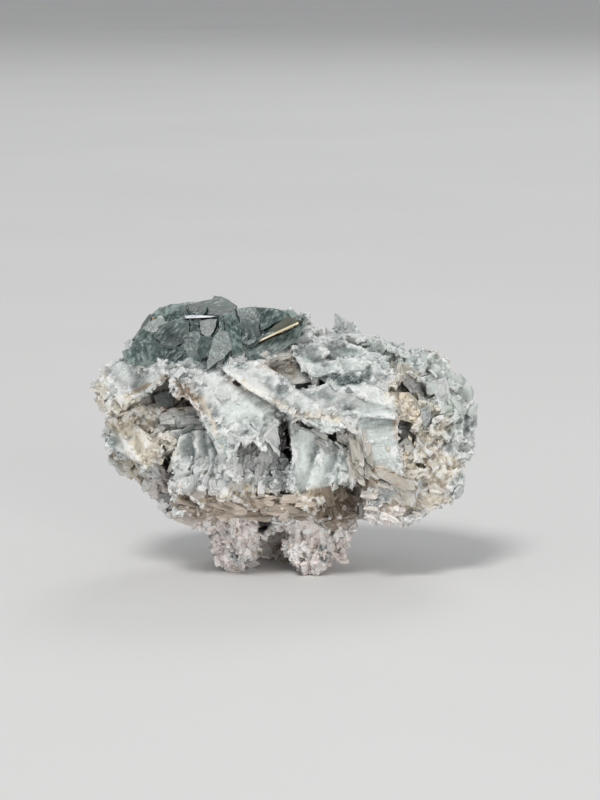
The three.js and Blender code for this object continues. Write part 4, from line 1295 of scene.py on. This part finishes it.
def grown_piece(name, growth, material, masks=()):
    """Grown solids as one finished piece; masks hold rows of values, one row for each solid."""
    points, triangles = growth.arrays()
    mesh = mesh_from(name, in_row(points), triangles)
    for mask in masks:
        set_mask(mesh, mask, np.concatenate(masks[mask]))
    return carried(placed(name, mesh), material)


def single_pane(name, plane, outline, lift, thick, bevel, material):
    growth = Growth()
    pane(growth, plane, outline, lift, thick, bevel)
    grown_piece(name, growth, material)


def mask_values(masks, triangle_points):
    """The skin's masks at given triangles' points, as one value each."""
    return {name: values[triangle_points].mean(1) for name, values in masks.items()}


def loose_blades(name, spots, faces, ways, longs, wides, masks, material, random):
    """Thin flat-faced blades that keep crisp edges; masks give each blade its colours."""
    growth = Growth()
    sizes = []
    for spot, face, way, long, wide in zip(spots, faces, ways, longs, wides):
        outline = shard_outline(random, long, wide, random.integers(5, 8))
        thick = random.uniform(0.18, 0.42) + 0.05 * long
        growth.add(*slab(outline, thick, random.uniform(0.8, 1.0), spot, face, way))
        sizes.append(len(growth.points[-1]))
    points, triangles = growth.arrays()
    number = np.repeat(np.arange(len(sizes)), sizes)
    row = in_row(points)
    row[:, 2] = np.maximum(row[:, 2], 0)
    mesh = mesh_from(name, row, triangles)
    for mask, values in masks.items():
        set_mask(mesh, mask, values[number])
    return carried(placed(name, mesh), material)


def skin_masks_near(tree, spots, triangles, masks):
    nearest = [tree.find_nearest(spot)[2] for spot in spots.tolist()]
    return mask_values(masks, triangles[nearest])


def blade_teeth(node, tree, triangles, masks, count, material, random):
    """Crisp teeth along the edges of the large blades."""
    row_points, row_triangles = arrays_of(node.data)
    points, row_triangles = welded(in_front_view(row_points), row_triangles)
    start, end, normals, away = sharp_edges(lobes_rounded(points), row_triangles)
    length = np.linalg.norm(end - start, axis=1)
    picked = random.choice(len(start), count, p=length / length.sum())
    share = random.random(count)[:, None]
    spots = (1 - share) * start[picked] + share * end[picked]
    ways = unit(away[picked] + 0.6 * random.normal(size=(count, 3)))
    faces = unit(normals[picked] + 0.25 * random.normal(size=(count, 3)))
    ways = unit(ways - (ways * faces).sum(1)[:, None] * faces)
    longs = 0.8 + 2.2 * random.random(count) ** 2
    spots = spots - 0.25 * faces - (0.2 * longs)[:, None] * ways
    off_skin = np.array([tree.find_nearest(spot)[3] for spot in spots.tolist()])
    kept = (crispness(spots) < 0.05) & (off_skin < 0.4)
    spots, faces, ways, longs = spots[kept], faces[kept], ways[kept], longs[kept]
    count = len(spots)
    near = skin_masks_near(tree, spots, triangles, masks)
    near["tone"] = 0.4 + 0.6 * random.random(count)
    near["edge"] = 0.3 * random.random(count)
    near["crease"] = np.zeros(count)
    wides = longs * random.uniform(0.25, 0.7, count)
    loose_blades("blade_teeth", spots, faces, ways, longs, wides, near, material, random)


def surface_flakes(points, triangles, masks, count, material, random):
    """Crisp flakes that lie on the faces like broken growth layers."""
    weights = (1 - masks["dark"]) * (1 - 0.95 * calmness(points))
    weights = weights * (0.1 + rising(cloud(points, 5, 81), 0.45, 0.7))
    spots, out, picked = spots_on(points, triangles, weights[triangles].mean(1), count, random)
    faces = unit(out + 0.35 * random.normal(size=(count, 3)))
    ways = unit(np.cross(faces, random.normal(size=(count, 3))))
    longs = 0.8 + 2.8 * random.random(count) ** 2
    near = mask_values(masks, triangles[picked])
    near["tone"] = 0.15 + 0.85 * random.random(count)
    near["edge"] = 0.2 * random.random(count)
    near["crease"] = np.zeros(count)
    wides = longs * random.uniform(0.3, 0.75, count)
    loose_blades("surface_flakes", spots + 0.1 * out, faces, ways, longs, wides, near, material, random)


def lit_blade(tree, random, face, edge, strip, brass):
    """The blade with a painted dark reflection on its face and a painted straw-gold highlight on its lit
    edge, a pale strip that is a painted highlight, and a brassy speck at the left.
    """
    plane = resting_plane(tree, LIT_FACE)
    # olive face: painted dark reflection; straw edge and pale strip: painted highlights
    single_pane("dark_faced_blade", plane, LIT_FACE, 2.1, 3.0, 0.03, face)
    single_pane("painted_lit_edge", plane, LIT_EDGE, 2.4, 1.0, 0.1, edge)
    # The pale strip is a painted highlight
    single_pane("painted_highlight_strip", resting_plane(tree, HIGHLIGHT_STRIP), HIGHLIGHT_STRIP, 1.8, 1.4, 0.1, strip)
    spots = np.array(front_depth(tree, *GLINT)) + random.normal(scale=0.3, size=(BRASS_GRAINS, 3))
    sizes = random.uniform(0.5, 0.9, BRASS_GRAINS)
    points, triangles, _ = crystals(spots, sizes, 0.3, crystal_shapes(3, 8, random), random)
    carried(placed("brassy_speck", mesh_from("brassy_speck", in_row(points), triangles)), brass)


def back_spike(tree, random, material):
    """The blade behind the roof, with a few thin layers on it."""
    growth = Growth()
    outline = np.array(SPIKE)
    plane = resting_plane(tree, outline)
    pane(growth, plane, outline, 0.5, 1.6, 0.08)
    for _ in range(SPIKE_LAYERS):
        middle = outline.mean(0) + random.normal(scale=(0.8, 0.8))
        shape = shard_outline(random, random.uniform(1.4, 2.6), random.uniform(0.7, 1.3), 6) + middle
        pane(growth, plane, shape, random.uniform(0.5, 0.9), 1.2, 0.15)
    grown_piece("back_spike", growth, material)


def front_plane(tree, outline):
    """The plane y = a + b x + c z through the nearest skin round an outline's corners."""
    middle = outline.mean(0)
    places = []
    for corner in outline:
        tried = [middle + share * (corner - middle) for share in (0.9, 1.0, 1.1, 1.25)]
        hits = [hit for hit in (front_depth(tree, x, z) for x, z in tried) if hit is not None]
        if hits:
            places.append(min(hits, key=lambda hit: hit[1])[:])
    places = np.array(places)
    near = places[places[:, 1] < np.median(places[:, 1]) + 2.5]
    sides = np.stack([np.ones(len(near)), near[:, 0], near[:, 2]], 1)
    return np.linalg.lstsq(sides, near[:, 1], rcond=None)[0]


def tilted(plane, middle, amount, random):
    """The plane tilted a little by chance about a place of the front view."""
    tilt = np.array([0.0, *random.uniform(-amount, amount, 2)])
    tilt[0] = -tilt[1:] @ middle
    return plane + tilt


def marked_plates(tree, random, material):
    """The plates that stand out by shape or colour, each with a few thin layers on it."""
    growth = Growth()
    masks = {name: [] for name in ("brown_stain_and_shade", "pink_bounce", "frost", "cream", "grey", "tone")}
    for outline, lift, colors in MARKED_PLATES:
        corners = np.asarray(outline, float)
        plane = resting_plane(tree, corners)
        middle = corners.mean(0)
        for layer in range(MARKED_LAYERS):
            share = 1.0 - 0.22 * layer
            drift = 0.0 if layer == 0 else random.normal(scale=0.25, size=2)
            shape = ragged(middle + drift + share * (corners - middle), 0.12, random)
            pane(growth, tilted(plane, middle, 0.12, random), shape, lift + 0.22 * layer, lift + 1.3, 0.07)
            for name, values in masks.items():
                value = random.uniform(0.3, 0.9) if name == "tone" else colors.get(name, 0.0)
                values.append(np.full(len(growth.points[-1]), value))
    grown_piece("marked_plates", growth, material, masks)


def gap_plates(tree, random, material):
    """Streaked growth behind the front blades, where the cluster shows no open hole."""
    growth = Growth()
    masks = {name: [] for name in ("grey", "frost", "cream", "brown_stain_and_shade", "teal_painted_dark", "tone")}
    for outline, behind, colors in GAP_PLATES:
        corners = np.asarray(outline, float)
        plane = front_plane(tree, corners)
        middle = corners.mean(0)
        for layer in range(GAP_LAYERS):
            turn = random.uniform(-0.7, 0.7)
            shift = 0.0 if layer == 0 else 0.45 * (corners[random.integers(len(corners))] - middle)
            share = 1.25 if layer == 0 else random.uniform(0.2, 0.5)
            shape = ragged(middle + shift + spun(share * (corners - middle), turn), 0.1, random)
            lift = -behind - 1.2 if layer == 0 else -behind + random.uniform(-0.9, 0.5)
            pane(growth, tilted(plane, shape.mean(0), 0.4, random), shape, lift, 2.2, 0.06)
            for name, values in masks.items():
                value = random.random() if name == "tone" else colors.get(name, 0.0)
                values.append(np.full(len(growth.points[-1]), value))
    grown_piece("gap_plates", growth, material, masks)


def plate_crumbs(tree, random, material):
    """Cream crumbs grown on the cream plates that close gaps."""
    spots = []
    for outline, behind, colors in GAP_PLATES:
        corners = np.asarray(outline, float)
        a, b, c = front_plane(tree, corners)
        middle = corners.mean(0)
        for _ in range(round(CRUMBS * colors.get("cream", 0.0))):
            x, z = middle + random.uniform(0.1, 1.1) * (corners[random.integers(len(corners))] - middle)
            x, z = np.array([x, z]) + random.normal(scale=0.6, size=2)
            spots.append((x, a + b * x + c * z + behind + random.uniform(-0.3, 0.9), z))
    sizes = random.uniform(0.5, 1.9, len(spots))
    points, triangles, number = crystals(np.array(spots), sizes, 0.5, crystal_shapes(12, 8, random), random)
    mesh = mesh_from("plate_crumbs", in_row(points), triangles)
    set_mask(mesh, "tone", random.random(len(spots))[number])
    carried(placed("plate_crumbs", mesh), material)


def pocket_blades(tree, shut, random, material):
    """Streaky blades grown side by side, most in the pockets; shut says how shut in each triangle is."""
    spots, faces, ways, longs, wides = [], [], [], [], []
    names = ("brown_stain_and_shade", "cream", "pink_bounce", "grey", "frost", "dark", "tone", "upright", "across")
    masks = {name: [] for name in names}
    for (x, z, half_x, half_z), way, (short, tall), slim, count, least_shut, colors in POCKETS:
        for place in random.uniform(-1, 1, (count, 2)):
            start = (x + half_x * place[0], VIEWER_DEPTH, z + half_z * place[1])
            hit, _, triangle, _ = tree.ray_cast(start, (0.0, 1.0, 0.0))
            if hit is None or shut[triangle] < least_shut:
                continue
            along = unit(np.array(way) + 0.22 * random.normal(size=3))
            face = unit(np.array([0.5, -1, 0.25]) + 0.35 * random.normal(size=3))
            face = unit(face - (face @ along) * along)
            long = random.uniform(short, tall)
            ends = [np.array(hit) + share * long * along for share in (-0.5, 0.5)]
            if any(front_depth(tree, end[0], end[2]) is None for end in ends):
                continue
            spots.append(np.array(hit) - 0.3 * face + (0, random.uniform(-0.8, 0.4), 0))
            faces.append(face)
            ways.append(along)
            longs.append(long)
            wides.append(long * random.uniform(0.5, 1.5) * slim)
            for name, values in masks.items():
                values.append(colors.get(name, 0.0))
            masks["upright"][-1] = float(abs(way[2]) > abs(way[0]))
            masks["across"][-1] = 1 - masks["upright"][-1]
    masks["tone"] = random.random(len(spots))
    masks = {name: np.array(values) for name, values in masks.items()}
    loose_blades("pocket_blades", spots, faces, ways, longs, wides, masks, material, random)


def crest_splinters(tree, random, count):
    """Small splinters strewn over the crest, in the same form as its plates."""
    rows = []
    while len(rows) < count:
        place = np.array([random.uniform(-28, -8), random.uniform(43, 54.5)])
        turn = random.uniform(-0.9, 0.5)
        long = random.uniform(1.4, 4.0)
        wide = random.uniform(0.4, 1.2)
        outline = spun(shard_outline(random, long, wide, random.integers(5, 7)), turn) + place
        if all(front_depth(tree, *corner) is not None for corner in outline):
            rows.append((random.uniform(0.2, 0.8), "upright", random.uniform(0.6, 1.2), outline))
    return rows


def crest_plates(tree, random, material):
    """The glassy plates of the crest, each tilted a little its own way and pale along its broken rim."""
    growth = Growth()
    masks = {"tone": [], "edge": [], "across": [], "upright": []}
    for pale, way, lift, outline in crest_splinters(tree, random, SPLINTERS) + CREST_PLATES:
        middle = np.mean(outline, axis=0)
        corners = ragged(middle + PLATE_OVERLAP * (np.asarray(outline) - middle), 0.12, random)
        plane = resting_plane(tree, corners)
        pane(growth, tilted(plane, middle, 0.16, random), corners, lift, lift + 1.3, 0.05)
        rim = np.repeat((0.0, 0.1, 1.0, 0.5), len(corners))
        masks["tone"].append(np.full(len(rim), pale))
        masks["edge"].append(rim)
        for name in ("across", "upright"):
            masks[name].append(np.full(len(rim), float(way == name)))
    grown_piece("crest_plates", growth, material, masks)


def icy_chunks(tree, random, material):
    """Blocky icy crystals at the right end."""
    x, z, half_x, half_z = ICY_CHUNKS
    spots = []
    while len(spots) < ICY_COUNT:
        hit = front_depth(tree, x + half_x * random.uniform(-1, 1), z + half_z * random.uniform(-1, 1))
        if hit is not None and hit[1] < 4:
            spots.append(np.array(hit) + (0, 0.7, 0))
    sizes = random.uniform(1.8, 4.4, len(spots))
    points, triangles, _ = crystals(np.array(spots), sizes, 0.35, crystal_shapes(8, 16, random), random)
    mesh = mesh_from("icy_crystals", in_row(points), triangles)
    carried(placed("icy_crystals", mesh), material)


# The whole cluster

frost_and_shade = frost_and_shade_group()
streaks = streak_group()
blade = blade_material(streaks, sugar_group(), cleavage_group(), facet_group(), frost_and_shade)
white_grain = crust_material("white_sugar", frost_and_shade, *WHITE_GRAIN, 0.3)
cream_grain = crust_material("cream_crust", frost_and_shade, *CREAM_GRAIN, 0.7)
# rose crust: pink as painted warm light from below
rose_bounce_grain = crust_material("pink_bounce_crust", frost_and_shade, *ROSE_BOUNCE_GRAIN, 0.3)
icy = clear_material("icy_crystal", ICY, 0.3, ICY_INSIDE, 40.0, 0.32)

skin = grow_skin(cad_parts["crystal_cluster"])
skin_points, skin_triangles = arrays_of(skin.data)
masks = paint_masks(skin.data, skin_points, skin_triangles)
on_row = in_row(skin_points)
on_row[:, 2] = np.maximum(on_row[:, 2], 0)
skin.data.vertices.foreach_set("co", on_row.astype(np.float32).ravel())
skin.data.update()
shade_by_fold(skin.data, FOLD_DEGREES)
carried(skin, blade)
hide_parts("crystal_cluster")

random = np.random.default_rng(23)
surface = (skin_points, skin_triangles, masks["shut"])
bare = (1 - masks["teal_painted_dark"]) * (1 - masks["dark"]) * (1 - 0.8 * masks["shut"])
bare = bare * (1 - 0.9 * masks["brown_stain_and_shade"])
bare = bare * (1 - in_crest(skin_points))
patchy = rising(cloud(skin_points, 6, 51), 0.5, 0.72)
drusy = bare * (0.01 + 0.9 * masks["edge"]) * (0.2 + patchy) * (1 - 0.7 * masks["cream"])
crust("white_sugar_crust", surface, drusy, WHITE_GRAINS, (0.25, 1.1), random, white_grain)
crust("cream_grain_crust", surface, bare * masks["cream"], CREAM_GRAINS, (0.25, 1.0), random, cream_grain)
# The pink of these grains is painted warm light from below
crust("pink_bounce_grain_crust", surface, bare * masks["pink_bounce"], ROSE_BOUNCE_GRAINS, (0.3, 1.9), random, rose_bounce_grain)

front = BVHTree.FromPolygons(skin_points.tolist(), skin_triangles.tolist())
blade_teeth(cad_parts["crystal_cluster"], front, skin_triangles, masks, TEETH, blade, random)
surface_flakes(skin_points, skin_triangles, masks, FLAKES, blade, random)
gap_plates(front, random, blade)
plate_crumbs(front, random, cream_grain)
marked_plates(front, random, blade)
pocket_blades(front, masks["shut"][skin_triangles].mean(1), random, blade)
back_spike(front, random, blade)
crest_plates(front, random, crest_material(streaks))
on_crest = masks["teal_painted_dark"] * (skin_points[:, 2] > CREST_FOOT)
crust("crest_specks", surface, on_crest, CREST_GRAINS, (0.12, 0.4), random, white_grain)
icy_chunks(front, random, icy)
# Painted dark reflection and painted highlights for the lit blade and pale strip; real brass on the speck
dark_face_reflection = lit_material("painted_dark_face", streaks, *DARK_FACE_REFLECTION, 0.15, 0.0)
lit_edge_highlight = lit_material("painted_lit_edge", streaks, *LIT_EDGE_HIGHLIGHT, 0.3, 0.0)
brass = lit_material("brassy_speck", streaks, *BRASS, 0.25, 1.0)
highlight_pearl = lit_material("painted_highlight_pearl", streaks, *HIGHLIGHT_PEARL, 0.3, 0.0)
lit_blade(front, random, dark_face_reflection, lit_edge_highlight, highlight_pearl, brass)


# Floor, light and camera

def pale_floor(radius):
    disc = bmesh.new()
    bmesh.ops.create_circle(disc, cap_ends=True, segments=96, radius=radius)
    mesh = bpy.data.meshes.new("floor")
    disc.to_mesh(mesh)
    disc.free()
    mesh.materials.append(floor_material())
    floor = placed("floor", mesh)


def soft_light(name, at, aim, size, power, color):
    lamp = bpy.data.lights.new(name, "AREA")
    lamp.shape = "DISK"
    lamp.size = size
    lamp.energy = power
    lamp.color = color
    holder = bpy.data.objects.new(name, lamp)
    bpy.context.scene.collection.objects.link(holder)
    holder.location = at
    holder.rotation_euler = (Vector(aim) - Vector(at)).to_track_quat("-Z", "Y").to_euler()


def pale_world(color, strength):
    world = bpy.data.worlds.new("studio")
    world.use_nodes = True
    background = world.node_tree.nodes["Background"]
    background.inputs["Color"].default_value = color
    background.inputs["Strength"].default_value = strength
    bpy.context.scene.world = world


def photo_camera():
    lens = bpy.data.cameras.new("camera")
    lens.sensor_width = 36.0
    lens.lens = lens.sensor_width * EYE_DISTANCE / PICTURE_HIGH
    camera = bpy.data.objects.new("camera", lens)
    bpy.context.scene.collection.objects.link(camera)
    x, z = PICTURE_MIDDLE
    camera.location = in_row((x, SCALE_DEPTH - EYE_DISTANCE, z))[0]
    camera.rotation_euler = (math.radians(90) - LEAN, 0, 0)
    bpy.context.scene.camera = camera


pale_floor(FLOOR_RADIUS)
pale_world(WORLD_COLOR, WORLD_STRENGTH)
for lamp in LAMPS:
    soft_light(*lamp)
photo_camera()
bpy.context.scene.view_settings.view_transform = "Standard"
